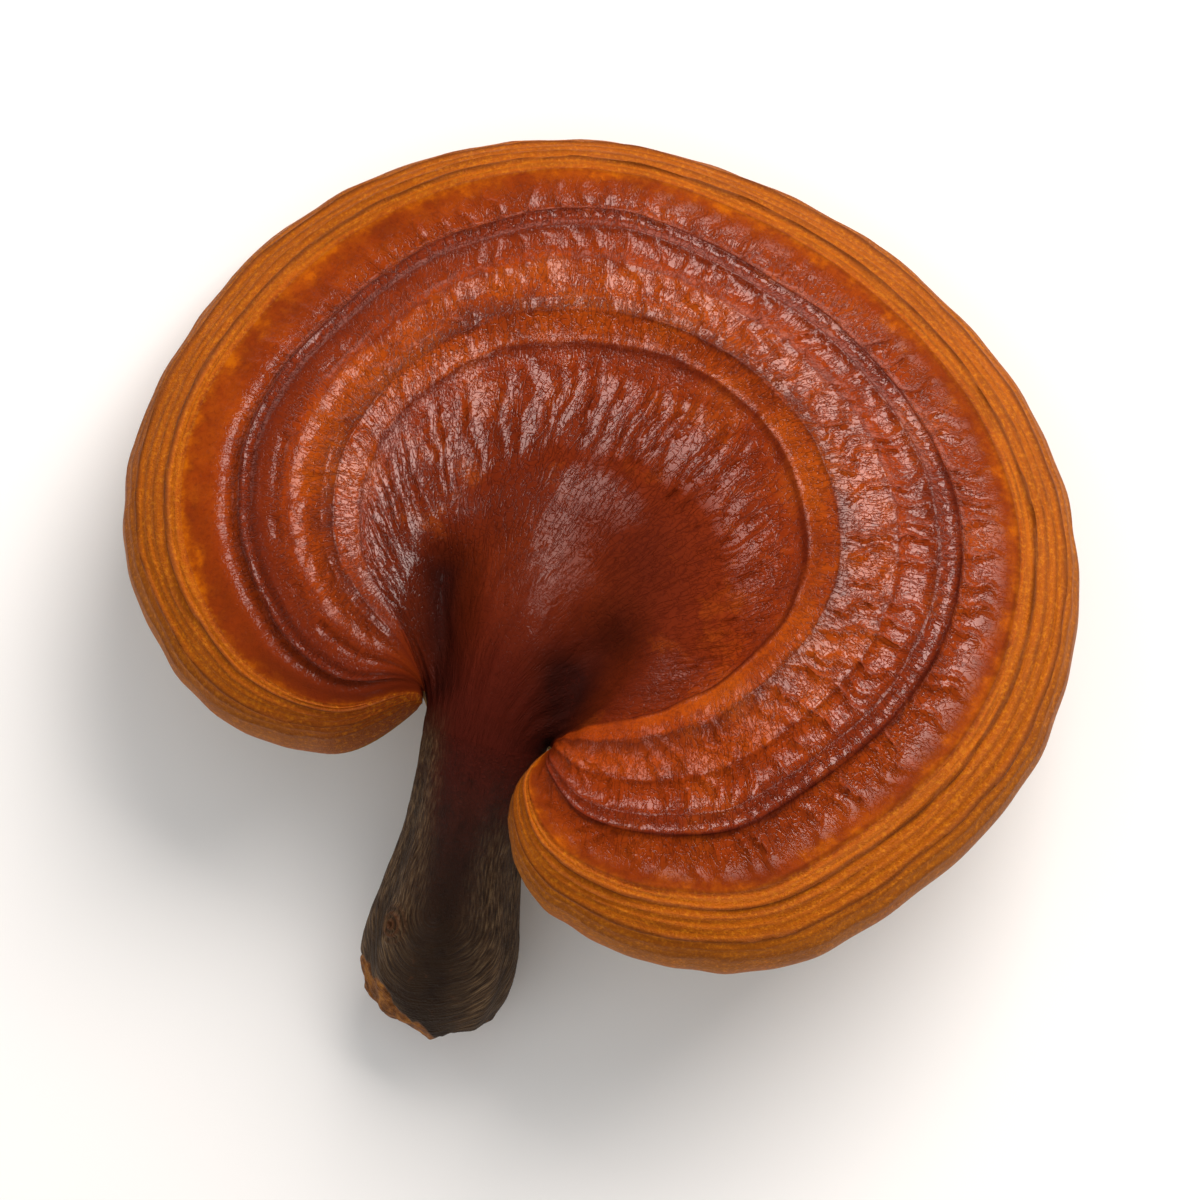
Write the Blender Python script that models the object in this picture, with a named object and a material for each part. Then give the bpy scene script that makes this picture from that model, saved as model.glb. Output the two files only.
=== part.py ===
"""Reishi mushroom: a kidney-shaped lacquered cap with growth rings, on a short stem that leaves its side.

The cap is drawn in its own frame, in millimetres: its axis is +Z, the stem leaves towards -Y, and the
margin lies near Z = 0. The whole fruit body is then tipped to the way it lies on a table, propped on the
torn end of its stem and on two low places of the cap's far margin.
"""
import math

import bmesh
import bpy
import numpy as np
from mathutils import Matrix

# Driving dimensions, in metres
MM = 0.001
CAP_WIDTH = 150 * MM
PART_GAP = 0.3 * MM

# The drawing below is made for a cap 150 mm wide, and scales with it
DRAWN_WIDTH = 150.0
UNIT = CAP_WIDTH / DRAWN_WIDTH

# How the fruit body lies: tipped back onto the far margin and rolled a little (degrees), then moved
# so that its box stands centred on the origin (drawn millimetres)
REST_TILT = 15.7
REST_ROLL = 0.42
REST_SHIFT = (-0.05, -5.2, 26.0)

# Growth lines, from the left of the neck round the cap to the right of it: x, y
MARGIN = [
    (-27.6, -18.0), (-42.8, -24.7), (-62.1, -17.2), (-74.9, 7.0), (-72.1, 35.5), (-53.6, 65.7),
    (-24.3, 78.6), (8.2, 78.8), (44.6, 64.8), (69.3, 35.0), (75.5, 0.4), (64.3, -33.0),
    (34.9, -58.2), (10.8, -61.3), (-9.0, -52.0), (-13.9, -38.3), (-7.7, -26.1),
]
OUTER_GROOVE = [
    (-27.5, -16.0), (-39.1, -18.9), (-49.6, -9.7), (-56.0, 8.1), (-53.2, 29.3), (-36.4, 50.9),
    (-16.0, 60.7), (6.4, 61.2), (33.7, 46.7), (51.1, 24.9), (55.8, 1.3), (46.6, -22.8),
    (24.2, -41.6), (9.1, -44.5), (-2.6, -41.7), (-7.8, -34.0), (-7.4, -26.8),
]
INNER_GROOVE = [
    (-27.2, -16.1), (-32.7, -6.5), (-36.5, 0.8), (-37.3, 8.5), (-35.6, 17.6), (-29.5, 27.5),
    (-15.8, 36.9), (3.2, 37.6), (17.3, 31.9), (28.2, 19.7), (31.9, 3.3), (28.5, -9.0),
    (19.1, -19.4), (8.4, -24.9), (0.8, -26.6), (-4.3, -27.0), (-7.2, -26.6),
]
LAST = len(MARGIN) - 1

# Height of the margin at each of those points: two low places are the feet, the right lobe's tip is raised
MARGIN_LIFT = [0, 0, 0, 0, -1.5, -3.5, 1.5, 2, -3.5, -4, -1, 0, 0.5, 2, 4, 5, 3]

# Distance in from the margin of each growth line, and of the neck, on the longest meridian
OUTER_INSET = 19.0
INNER_INSET = 41.5
NECK_INSET = 86.5

# Rolled margin: half widths and heights of its upper and lower quarter
ROLL_OVER = (11.0, 9.0)
ROLL_UNDER = (7.0, 7.0)

# Height of the upper face above its rolled margin, and of the lower face below it: inset, height
DOME = [(0, 0.0), (6, 0.1), (11, 0.6), (19, 3.6), (25, 4.8), (31, 6.4), (36.5, 6.0), (41.5, 4.8)]
HOLLOW = [(0, 0.0), (7, 0.0), (20, 1.2), (41.5, 2.2)]

# Rings that stand up from the upper face or are sunk into it: inset, half width, height
RINGS = [
    (0.5, 0.3, -0.25), (2.75, 0.9, -0.6), (5.6, 0.8, -0.25), (7.3, 0.9, -0.6), (9.9, 1.2, -0.4),
    (16.2, 2.0, 0.4), (19.0, 0.9, -0.9), (20.6, 0.9, 0.4), (22.4, 0.9, -0.35), (25.4, 1.2, 0.3),
    (36.5, 0.9, -0.5), (41.5, 1.1, -1.1), (47.5, 5.0, 0.9), (57.5, 3.5, -0.7),
]

# Creases, low places and rises of the upper face: from x, y to x, y, half width, height
SWELLS = [
    (-23.8, -17.0, -23.5, 2.5, 4.2, -6.5), (-7.0, -23.0, 4.0, -11.0, 5.2, -6.0),
    (5.0, -11.0, 12.0, -4.0, 7.0, -2.2), (-15.5, -20.0, -9.0, 3.0, 7.2, 3.2),
    (-7.0, 8.0, -3.0, 13.0, 9.5, 2.2),
]

# Uneven waves of the margin's outline and of the face: height, pitch as a share of a growth line's steps
MARGIN_WAVE = (0.25, 0.45)
MARGIN_WAVE_DEPTH = 4.0
LUMPS = (0.25, 0.9)
LUMPS_BEGIN = (10, 14)
LUMPS_END = (50, 70)

# Where each lobe's end meets the neck: heights there, and how far along the growth lines the end is round
FLANK_HEIGHT = (1.0, 2.5)
END_RUN = (1.0, 2.0)
RELIEF_RUN = (1.0, 1.2)

# Neck, where cap and stem part: centre, half width, height above and below, direction and dip of the stem
NECK = (-17.8, -21.9, -2.0)
NECK_HALF_WIDTH = 9.9
NECK_RISE = 9.0
NECK_DROP = 10.0
NECK_HEADING = math.radians(-108.7)
NECK_DIP = math.radians(33)
NECK_FADE = 16.0
LOFT_PULL = 0.35

# Stem: its axis beyond the neck, and its half width along it: share of the way, across, thick
STEM_LEAD = 9.0
STEM_BEND = (-22.6, -42.0, -17.0)
STEM_TIP = (-27.6, -55.0, -36.5)
STEM_SIZE = [
    (0, 9.9, 9.5), (0.2, 9.2, 9.0), (0.45, 9.3, 9.2), (0.65, 10.7, 10.0), (0.8, 12.0, 11.0),
    (0.9, 11.9, 10.9), (0.97, 10.4, 9.6), (1, 8.0, 7.4),
]
STEM_LENGTH = 46.0
STEM_RADIUS = 11.0

# Bark: height, pitch round the stem, twist along it, seed; knot: share of the way, angle, radius, height
BARK = [(0.35, 7.85, 0.0, 11), (0.3, 15.7, 8.0, 13)]
BARK_ROUND = 10.0
KNOT = (0.72, math.radians(152), 2.2, 0.9)

# Torn base: depth and pitch of its ragged rim, and the rings of its hollow: share of the rim, depth
TORN_DEPTH = 1.0
TORN_PITCH = 12.0
TORN_RINGS = ((0.72, 0.6), (0.4, 1.6))

# Faceting
CAP_COLUMNS = 92
UPPER_ROWS = (
    0, 0.5, 1.6, 2.75, 3.9, 5.6, 6.6, 7.3, 8.3, 9.9, 12, 15.5, 17.7, 19, 20.4, 22.4, 25.2, 28, 31, 34,
    35.6, 36.5, 37.6, 40.2, 41.5, 43, 46, 49, 52, 55, 58, 61, 64, 67, 70, 73, 76.5, 80, 83.5, NECK_INSET,
)
LOWER_ROWS = (0, 1.6, 4.4, 9, 16, 27, INNER_INSET, 60, 74, NECK_INSET)
THINNED_COLUMNS = ((54, 2), (72, 4))
STEM_COLUMNS = 40
STEM_ROWS = 15

# Finish: lacquered crust on the cap, duller and nearly black on the stem
CAP_COLOUR = (0.22, 0.035, 0.010)
CAP_ROUGHNESS = 0.35
STEM_COLOUR = (0.035, 0.020, 0.012)
STEM_ROUGHNESS = 0.55


def spline(points, t):
    """Smooth curve through points, read at t, where each point has its own whole number."""
    points = np.asarray(points, float)
    padded = np.vstack([2 * points[0] - points[1], points, 2 * points[-1] - points[-2]])
    i = np.clip(np.floor(t).astype(int), 0, len(points) - 2)
    f = (t - i)[..., None]
    a, b, c, d = (padded[i + k] for k in range(4))
    return b + 0.5 * f * (c - a + f * (2 * a - 5 * b + 4 * c - d + f * (3 * (b - c) + d - a)))


def profile(knots, x):
    """Smooth curve through (x, value) knots, read at x."""
    xs, values = np.transpose(knots)
    return spline(values[:, None], np.interp(x, xs, np.arange(len(xs))))[..., 0]


def smooth(low, high, x):
    """0 at low and 1 at high, with a soft start and end."""
    f = np.clip((x - low) / (high - low), 0, 1)
    return f * f * (3 - 2 * f)


def unit(v):
    return v / np.linalg.norm(v, axis=-1, keepdims=True)


def ripple(x, pitch, seed):
    """Uneven wave of height 1 with about the given pitch, from three even ones."""
    rng = np.random.default_rng(seed)
    waves = [np.sin(2 * math.pi * x / (pitch * share) + rng.uniform(0, 6.28)) for share in (0.7, 1.0, 1.45)]
    return sum(waves) / len(waves)


def neck_axes():
    """Across, up and back along the stem's axis, where cap and stem part."""
    heading = np.array([math.cos(NECK_HEADING), math.sin(NECK_HEADING)])
    down = np.array([*(heading * math.cos(NECK_DIP)), -math.sin(NECK_DIP)])
    across = np.array([-heading[1], heading[0], 0.0])
    up = np.array([*(heading * math.sin(NECK_DIP)), math.cos(NECK_DIP)])
    return across, up, -down


def neck_ring(angle, shift=0.0):
    """Outline of the neck's section at angle, 0 at its right flank and 90 degrees at its top."""
    across, up, back = neck_axes()
    high = np.where(np.sin(angle) > 0, NECK_RISE, NECK_DROP)
    side = NECK_HALF_WIDTH * np.cos(angle)[..., None] * across
    return np.array(NECK) + side + (high * np.sin(angle))[..., None] * up + shift * back


def column_places(count):
    """Places along the growth lines that share out their length evenly."""
    fine = np.linspace(0, LAST, 1601)
    length = np.zeros(len(fine))
    for line in (MARGIN, OUTER_GROOVE, INNER_GROOVE):
        step = np.linalg.norm(np.diff(spline(line, fine), axis=0), axis=1)
        length[1:] += np.cumsum(step)
    return np.interp(np.linspace(0, length[-1], count + 1), length, fine)


def lobe_end(t):
    """0 where a lobe meets the neck and 1 along it, rising as a round end does."""
    reach = np.clip(np.minimum(t / END_RUN[0], (LAST - t) / END_RUN[1]), 0, 1)
    return np.sqrt(1 - (1 - reach) ** 2)


def quarter(inset, size):
    """Height of a rolled margin's quarter at an inset."""
    width, height = size
    return height * np.sqrt(1 - (1 - np.clip(inset / width, 0, 1)) ** 2)


def face(inset, t, upper):
    """Upper or lower face of the cap without its relief: insets down the rows, places along the columns."""
    inset, t = np.meshgrid(inset, t, indexing="ij")
    margin = spline(MARGIN, t)
    outward = unit(margin - spline(OUTER_GROOVE, t))
    wave, pitch = MARGIN_WAVE
    wave = wave * ripple(t, pitch, 3) * lobe_end(t) * smooth(MARGIN_WAVE_DEPTH, 0, inset)
    margin = margin + wave[..., None] * outward
    outer = spline(OUTER_GROOVE, t)
    inner = spline(INNER_GROOVE, t)
    to_outer = np.clip(inset / OUTER_INSET, 0, 1)[..., None]
    to_inner = np.clip((inset - OUTER_INSET) / (INNER_INSET - OUTER_INSET), 0, 1)[..., None]
    plan = margin + (outer - margin) * to_outer + (inner - outer) * to_inner
    lift = spline(np.array(MARGIN_LIFT)[:, None], t)[..., 0] * smooth(INNER_INSET, 0, inset)
    reach = np.minimum(inset, INNER_INSET)
    if upper:
        height = quarter(reach, ROLL_OVER) + profile(DOME, reach)
    else:
        height = profile(HOLLOW, reach) - quarter(reach, ROLL_UNDER)
    flank = FLANK_HEIGHT[0] + (FLANK_HEIGHT[1] - FLANK_HEIGHT[0]) * t / LAST
    height = flank + (lift + height - flank) * lobe_end(t)
    place = np.concatenate([plan, height[..., None]], axis=-1)

    # Inside the inner groove the face runs on to the neck, and leaves it along the stem's axis
    angle = math.pi * (1 - t / LAST) * (1 if upper else -1)
    start = neck_ring(angle)
    back = neck_axes()[2]
    run = np.linalg.norm(place - start, axis=-1, keepdims=True)
    level = place + LOFT_PULL * (start - place) * np.array([1, 1, 0])
    f = np.clip((NECK_INSET - inset) / (NECK_INSET - INNER_INSET), 0, 1)[..., None]
    loft = (1 - f) ** 3 * start + 3 * f * (1 - f) ** 2 * (start + LOFT_PULL * run * back)
    loft = loft + 3 * f ** 2 * (1 - f) * level + f ** 3 * place
    return np.where(inset[..., None] < INNER_INSET, place, loft), inset, t


def normals(grid):
    """Upward normals of a grid of points, rows running inwards and columns clockwise."""
    return unit(np.cross(np.gradient(grid, axis=1), np.gradient(grid, axis=0)) + 1e-12)


def relief(grid, inset, t):
    """Height of rings, low places and lumps of the upper face, along its normal."""
    ends = smooth(0, RELIEF_RUN[0], t) * smooth(0, RELIEF_RUN[1], LAST - t)
    height = np.zeros(inset.shape)
    for at, half, rise in RINGS:
        height += rise * np.exp(-((inset - at) / half) ** 2)
    lump, pitch = LUMPS
    height += lump * ripple(t, pitch, 5) * smooth(*LUMPS_BEGIN, inset) * smooth(*LUMPS_END[::-1], inset)
    return height * ends


def upper_face(inset, t):
    grid, inset, t = face(inset, t, True)
    free = smooth(NECK_INSET, NECK_INSET - NECK_FADE, inset)
    for x, y, to_x, to_y, half, rise in SWELLS:
        run = np.array([to_x - x, to_y - y])
        away = grid[..., :2] - (x, y)
        share = np.clip(away @ run / (run @ run), 0, 1)[..., None]
        away = np.linalg.norm(away - share * run, axis=-1)
        grid[..., 2] += rise * np.exp(-(away / half) ** 2) * free * lobe_end(t)
    return grid + (relief(grid, inset, t) * smooth(0, 0.6, inset))[..., None] * normals(grid)


def thin_out(grid, rows):
    """Gathers the columns of the rows near the neck, where they crowd together, in twos and then in fours."""
    for start, group in THINNED_COLUMNS:
        inner = rows > start
        for c in range(CAP_COLUMNS):
            grid[inner, c] = grid[inner, c - c % group]


def cap_mesh():
    """Closed loops round the neck widen over both faces of the cap and meet at its margin."""
    t = column_places(CAP_COLUMNS)
    over_rows = np.array(UPPER_ROWS)
    under_rows = np.array(LOWER_ROWS)
    over = upper_face(over_rows, t)
    under = face(under_rows, t, False)[0]
    under[0] = over[0]
    for side in (0, -1):
        nearest = np.abs(over_rows[:, None] - under_rows[None, :]).argmin(axis=1)
        over[:, side] = under[nearest, side]
    thin_out(over, over_rows)
    thin_out(under, under_rows)
    bm = bmesh.new()
    for grid, flip in ((over, False), (under, True)):
        verts = [[bm.verts.new(p) for p in row] for row in grid]
        for r in range(len(verts) - 1):
            for c in range(len(verts[0]) - 1):
                quad = [verts[r][c], verts[r][c + 1], verts[r + 1][c + 1], verts[r + 1][c]]
                bm.faces.new(quad[::-1] if flip else quad)
    bmesh.ops.remove_doubles(bm, verts=bm.verts, dist=1e-4)
    bmesh.ops.holes_fill(bm, edges=[e for e in bm.edges if e.is_boundary], sides=0)
    return bm


def stem_point(share, angle):
    """Point of the stem's skin at a share of its length, its angle as on the neck's ring."""
    share = np.asarray(share, float)
    across, up, back = neck_axes()
    start = np.array(NECK)
    first = start - back * STEM_LEAD
    bend, tip = np.array(STEM_BEND), np.array(STEM_TIP)
    f = share[..., None]
    g = 1 - f
    axis = g ** 3 * start + 3 * g * g * f * first + 3 * g * f * f * bend + f ** 3 * tip
    along = unit(3 * g * g * (first - start) + 6 * g * f * (bend - first) + 3 * f * f * (tip - bend))
    side = unit(across - along * (along @ across)[..., None])
    top = np.cross(side, along)
    top = np.where((top @ up)[..., None] < 0, -top, top)
    wide = profile([(s, a) for s, a, _ in STEM_SIZE], share)
    thick = profile([(s, b) for s, _, b in STEM_SIZE], share)
    high = thick * np.where(np.sin(angle) > 0, NECK_RISE, NECK_DROP) / STEM_SIZE[0][2]
    bark = 0
    for rise, pitch, twist, seed in BARK:
        bark = bark + rise * ripple(angle * BARK_ROUND + twist * share, pitch, seed)
    at, where, size, rise = KNOT
    near = ((share - at) * STEM_LENGTH) ** 2 + (STEM_RADIUS * (angle - where)) ** 2
    bark = bark * smooth(0, 0.25, share) + rise * np.exp(-near / size ** 2)
    across = ((wide + bark) * np.cos(angle))[..., None] * side
    return axis + across + ((high + bark) * np.sin(angle))[..., None] * top


def stem_mesh():
    """Loops from the neck down to the torn base, which is closed by a rough hollow."""
    angle = np.linspace(0, 2 * math.pi, STEM_COLUMNS, endpoint=False)
    share = np.linspace(0, 1, STEM_ROWS + 1)
    share, angle = np.meshgrid(share, angle, indexing="ij")
    grid = stem_point(share, angle)
    grid[0] = neck_ring(angle[0], -PART_GAP / UNIT)
    along = unit(grid[-1].mean(axis=0) - grid[-2].mean(axis=0))
    torn = TORN_DEPTH * ripple(angle[0] * BARK_ROUND, TORN_PITCH, 17)
    grid[-1] += torn[:, None] * along
    centre = grid[-1].mean(axis=0)
    rings = [centre + (grid[-1] - centre) * share - along * depth for share, depth in TORN_RINGS]
    grid = np.concatenate([grid, rings])
    bm = bmesh.new()
    verts = [[bm.verts.new(p) for p in row] for row in grid]
    for r in range(len(verts) - 1):
        for c in range(STEM_COLUMNS):
            d = (c + 1) % STEM_COLUMNS
            bm.faces.new([verts[r][c], verts[r][d], verts[r + 1][d], verts[r + 1][c]])
    bm.faces.new(verts[0][::-1])
    bm.faces.new(verts[-1])
    return bm


def rest_matrix():
    """From the cap's own frame, in millimetres, to the fruit body as it lies, in metres."""
    tip = Matrix.Rotation(math.radians(-REST_TILT), 4, "X") @ Matrix.Rotation(math.radians(REST_ROLL), 4, "Y")
    return Matrix.Scale(UNIT, 4) @ Matrix.Translation(REST_SHIFT) @ tip


def stand_on_floor(bm):
    """Presses flat what reaches just below the floor: the feet that the fruit body rests on."""
    geometry = bm.verts[:] + bm.edges[:] + bm.faces[:]
    cut = bmesh.ops.bisect_plane(
        bm, geom=geometry, dist=1e-6, plane_co=(0, 0, 0), plane_no=(0, 0, -1), clear_outer=True
    )["geom_cut"]
    rim = [e for e in cut if isinstance(e, bmesh.types.BMEdge)]
    bmesh.ops.holes_fill(bm, edges=rim, sides=0)


def material(name, colour, roughness):
    mat = bpy.data.materials.new(name)
    mat.use_nodes = True
    shader = mat.node_tree.nodes["Principled BSDF"]
    shader.inputs["Base Color"].default_value = (*colour, 1)
    shader.inputs["Roughness"].default_value = roughness
    shader.inputs["Metallic"].default_value = 0.0
    return mat


def add_piece(name, bm, mat, collection):
    mesh = bpy.data.meshes.new(name)
    bmesh.ops.recalc_face_normals(bm, faces=bm.faces)
    bm.to_mesh(mesh)
    bm.free()
    mesh.shade_smooth()
    mesh.materials.append(mat)
    collection.objects.link(bpy.data.objects.new(name, mesh))


def main():
    for old in list(bpy.data.objects):
        bpy.data.objects.remove(old)
    collection = bpy.data.collections.new("reishi_mushroom")
    bpy.context.scene.collection.children.link(collection)
    for name, bm, colour, roughness in (
        ("cap", cap_mesh(), CAP_COLOUR, CAP_ROUGHNESS),
        ("stem", stem_mesh(), STEM_COLOUR, STEM_ROUGHNESS),
    ):
        bmesh.ops.transform(bm, matrix=rest_matrix(), verts=bm.verts)
        stand_on_floor(bm)
        add_piece(name, bm, material(name, colour, roughness), collection)


main()
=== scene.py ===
"""A dried reishi mushroom on a pale floor: lacquered crust, velvety margin, pore surface and fibrous stem.

The fruit body is drawn in its cap's own frame, in millimetres, with the cap's axis along +Z and the stem
leaving towards -Y, and is then tipped to the way it lies on the floor, in metres. Sizes of the finishes'
patterns are in millimetres too.
"""

import logging
import math
from dataclasses import dataclass
from enum import Enum

import bpy
import numpy as np
from mathutils import Matrix, Vector


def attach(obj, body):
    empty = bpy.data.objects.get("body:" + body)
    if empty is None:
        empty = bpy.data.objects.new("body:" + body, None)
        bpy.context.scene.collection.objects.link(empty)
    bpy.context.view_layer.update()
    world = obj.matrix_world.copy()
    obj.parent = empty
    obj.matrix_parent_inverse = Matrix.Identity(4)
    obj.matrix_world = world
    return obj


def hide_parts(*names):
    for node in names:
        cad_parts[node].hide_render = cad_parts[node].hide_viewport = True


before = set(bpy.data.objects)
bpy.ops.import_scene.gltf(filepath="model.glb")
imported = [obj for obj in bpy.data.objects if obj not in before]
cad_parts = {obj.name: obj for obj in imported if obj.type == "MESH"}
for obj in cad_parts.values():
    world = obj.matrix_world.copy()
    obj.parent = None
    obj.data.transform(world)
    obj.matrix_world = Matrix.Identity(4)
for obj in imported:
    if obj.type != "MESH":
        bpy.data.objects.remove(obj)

Array = np.ndarray
Tree = bpy.types.NodeTree
Node = bpy.types.Node
Socket = bpy.types.NodeSocket
Material = bpy.types.Material
Piece = bpy.types.Object
Range = tuple[float, float]
Table = tuple[tuple[float, ...], ...]
SideTable = tuple[tuple[float, tuple[float, ...]], ...]
Stops = tuple[tuple[float, str], ...]

MM = 0.001
FULL_TURN = 2 * math.pi
SIDE_STEP = 4  # Tables that go round the cap have a value at every fourth place of a growth line
SIDES = (0, 4, 8, 12, 16)  # Left lobe's foot, left, top right, bottom right, right lobe's foot

log = logging.getLogger("reishi")


class Side(Enum):
    """The two faces of the cap."""

    UPPER = 1
    LOWER = -1


def smooth(low: float, high: float, x: Array) -> Array:
    """Gives a soft step.

    Args:
        low: Where the step begins, at 0.
        high: Where it ends, at 1.
        x: Values to read it at.

    Returns:
        The step's height at each value.
    """
    f = np.clip((x - low) / (high - low), 0, 1)
    return f * f * (3 - 2 * f)


def unit(v: Array) -> Array:
    """Gives the vectors along the last axis at length 1."""
    return v / np.linalg.norm(v, axis=-1, keepdims=True)


def spline(points: Array, t: Array) -> Array:
    """Reads a smooth curve through points, where each point has its own whole number.

    Args:
        points: The points that the curve passes.
        t: Places along it.

    Returns:
        The curve's points at those places.
    """
    points = np.asarray(points, float)
    padded = np.vstack([2 * points[0] - points[1], points, 2 * points[-1] - points[-2]])
    i = np.clip(np.floor(t).astype(int), 0, len(points) - 2)
    f = (t - i)[..., None]
    a, b, c, d = (padded[i + k] for k in range(4))
    return b + 0.5 * f * (c - a + f * (2 * a - 5 * b + 4 * c - d + f * (3 * (b - c) + d - a)))


def profile(knots: list[tuple[float, float]], x: Array) -> Array:
    """Reads a smooth curve through (x, value) knots at x."""
    xs, values = np.transpose(knots)
    return spline(values[:, None], np.interp(x, xs, np.arange(len(xs))))[..., 0]


def lattice(i: Array, j: Array, seed: int) -> Array:
    """Gives a number from 0 to 1 for each whole-number place, the same at each run.

    Args:
        i: First coordinate.
        j: Second coordinate.
        seed: Which field of numbers.

    Returns:
        The numbers.
    """
    word = (1 << 32) - 1
    h = (np.asarray(i, np.int64) * 374761393 + np.asarray(j, np.int64) * 668265263 + seed * 974634777) & word
    for shift, prime in ((13, 1274126177), (16, 2246822519)):
        h = ((h ^ (h >> shift)) * prime) & word
    return ((h ^ (h >> 15)) & 0xFFFFFF) / 0xFFFFFF


def waves(x: Array, y: Array, seed: int) -> Array:
    """Gives smooth noise with one swell to each whole step.

    Args:
        x: First coordinate.
        y: Second coordinate.
        seed: Which field.

    Returns:
        The height at each point, from about -1 to 1.
    """
    i, j = np.floor(x).astype(np.int64), np.floor(y).astype(np.int64)
    fx, fy = x - i, y - j
    wx, wy = (f * f * f * (f * (f * 6 - 15) + 10) for f in (fx, fy))
    corners = []
    for di in (0, 1):
        for dj in (0, 1):
            turn = FULL_TURN * lattice(i + di, j + dj, seed)
            corners.append(np.cos(turn) * (fx - di) + np.sin(turn) * (fy - dj))
    low = corners[0] * (1 - wy) + corners[1] * wy
    high = corners[2] * (1 - wy) + corners[3] * wy
    return 1.5 * (low * (1 - wx) + high * wx)


def creased(x: Array, y: Array, seed: int, octaves: int = 2) -> Array:
    """Gives rounded swells that meet in sharp creases.

    Args:
        x: First coordinate.
        y: Second coordinate.
        seed: Which field.
        octaves: How many sizes of swell, each half of the one before.

    Returns:
        The height at each point, from 0 in a crease to about 1.
    """
    return sum(np.abs(waves(x * 2 ** k, y * 2 ** k, seed + k)) / 1.8 ** k for k in range(octaves))


def ripple(x: Array, pitch: float, seed: int) -> Array:
    """Gives an uneven wave, made of three even ones.

    Args:
        x: Places along it.
        pitch: About the length of a wave.
        seed: Which field.

    Returns:
        The height at each place, from -1 to 1.
    """
    rng = np.random.default_rng(seed)
    sines = [np.sin(FULL_TURN * x / (pitch * k) + rng.uniform(0, 6.28)) for k in (0.7, 1, 1.45)]
    return sum(sines) / len(sines)


def spread(grid: Array, strokes: Table) -> Array:
    """Spreads soft strokes over the upper face, seen from above.

    Args:
        grid: The points.
        strokes: For each stroke the x and y of its two ends, its half width and its strength.

    Returns:
        The sum of the strokes at each point.
    """
    total = np.zeros(grid.shape[:2])
    for x, y, to_x, to_y, half, strength in strokes:
        run = np.array([to_x - x, to_y - y])
        away = grid[..., :2] - (x, y)
        share = np.clip(away @ run / (run @ run), 0, 1)[..., None]
        away = np.linalg.norm(away - share * run, axis=-1)
        total += strength * np.exp(-(away / half) ** 2)
    return total


@dataclass(frozen=True)
class Places:
    """Where a grid's points are on the cap, in its own coordinates.

    The inset is the distance in from the margin, t the place along the growth lines, clockwise from the
    left lobe's foot, and along that place as a distance on an average line. Rows run inwards.
    """

    inset: Array
    t: Array
    along: Array

    def by_side(self, table: SideTable) -> Array:
        """Reads a table of values round the cap.

        Args:
            table: Rows of an inset and its values at SIDES.

        Returns:
            The value at each point.
        """
        knots = [row[0] for row in table]
        values = np.array([row[1] for row in table])
        last = len(SIDES) - 1
        column = np.clip(np.floor(self.t / SIDE_STEP).astype(int), 0, last - 1)
        share = self.t / SIDE_STEP - column
        total = np.zeros(self.inset.shape)
        for k in range(last):
            before, after = (np.interp(self.inset, knots, values[:, k + step]) for step in (0, 1))
            total = np.where(column == k, before + (after - before) * share, total)
        return total

    def marks(self) -> Array:
        """Gives the coordinates as vectors, for the finishes to read."""
        return np.stack([self.along, self.inset, self.t], axis=-1)


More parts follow.
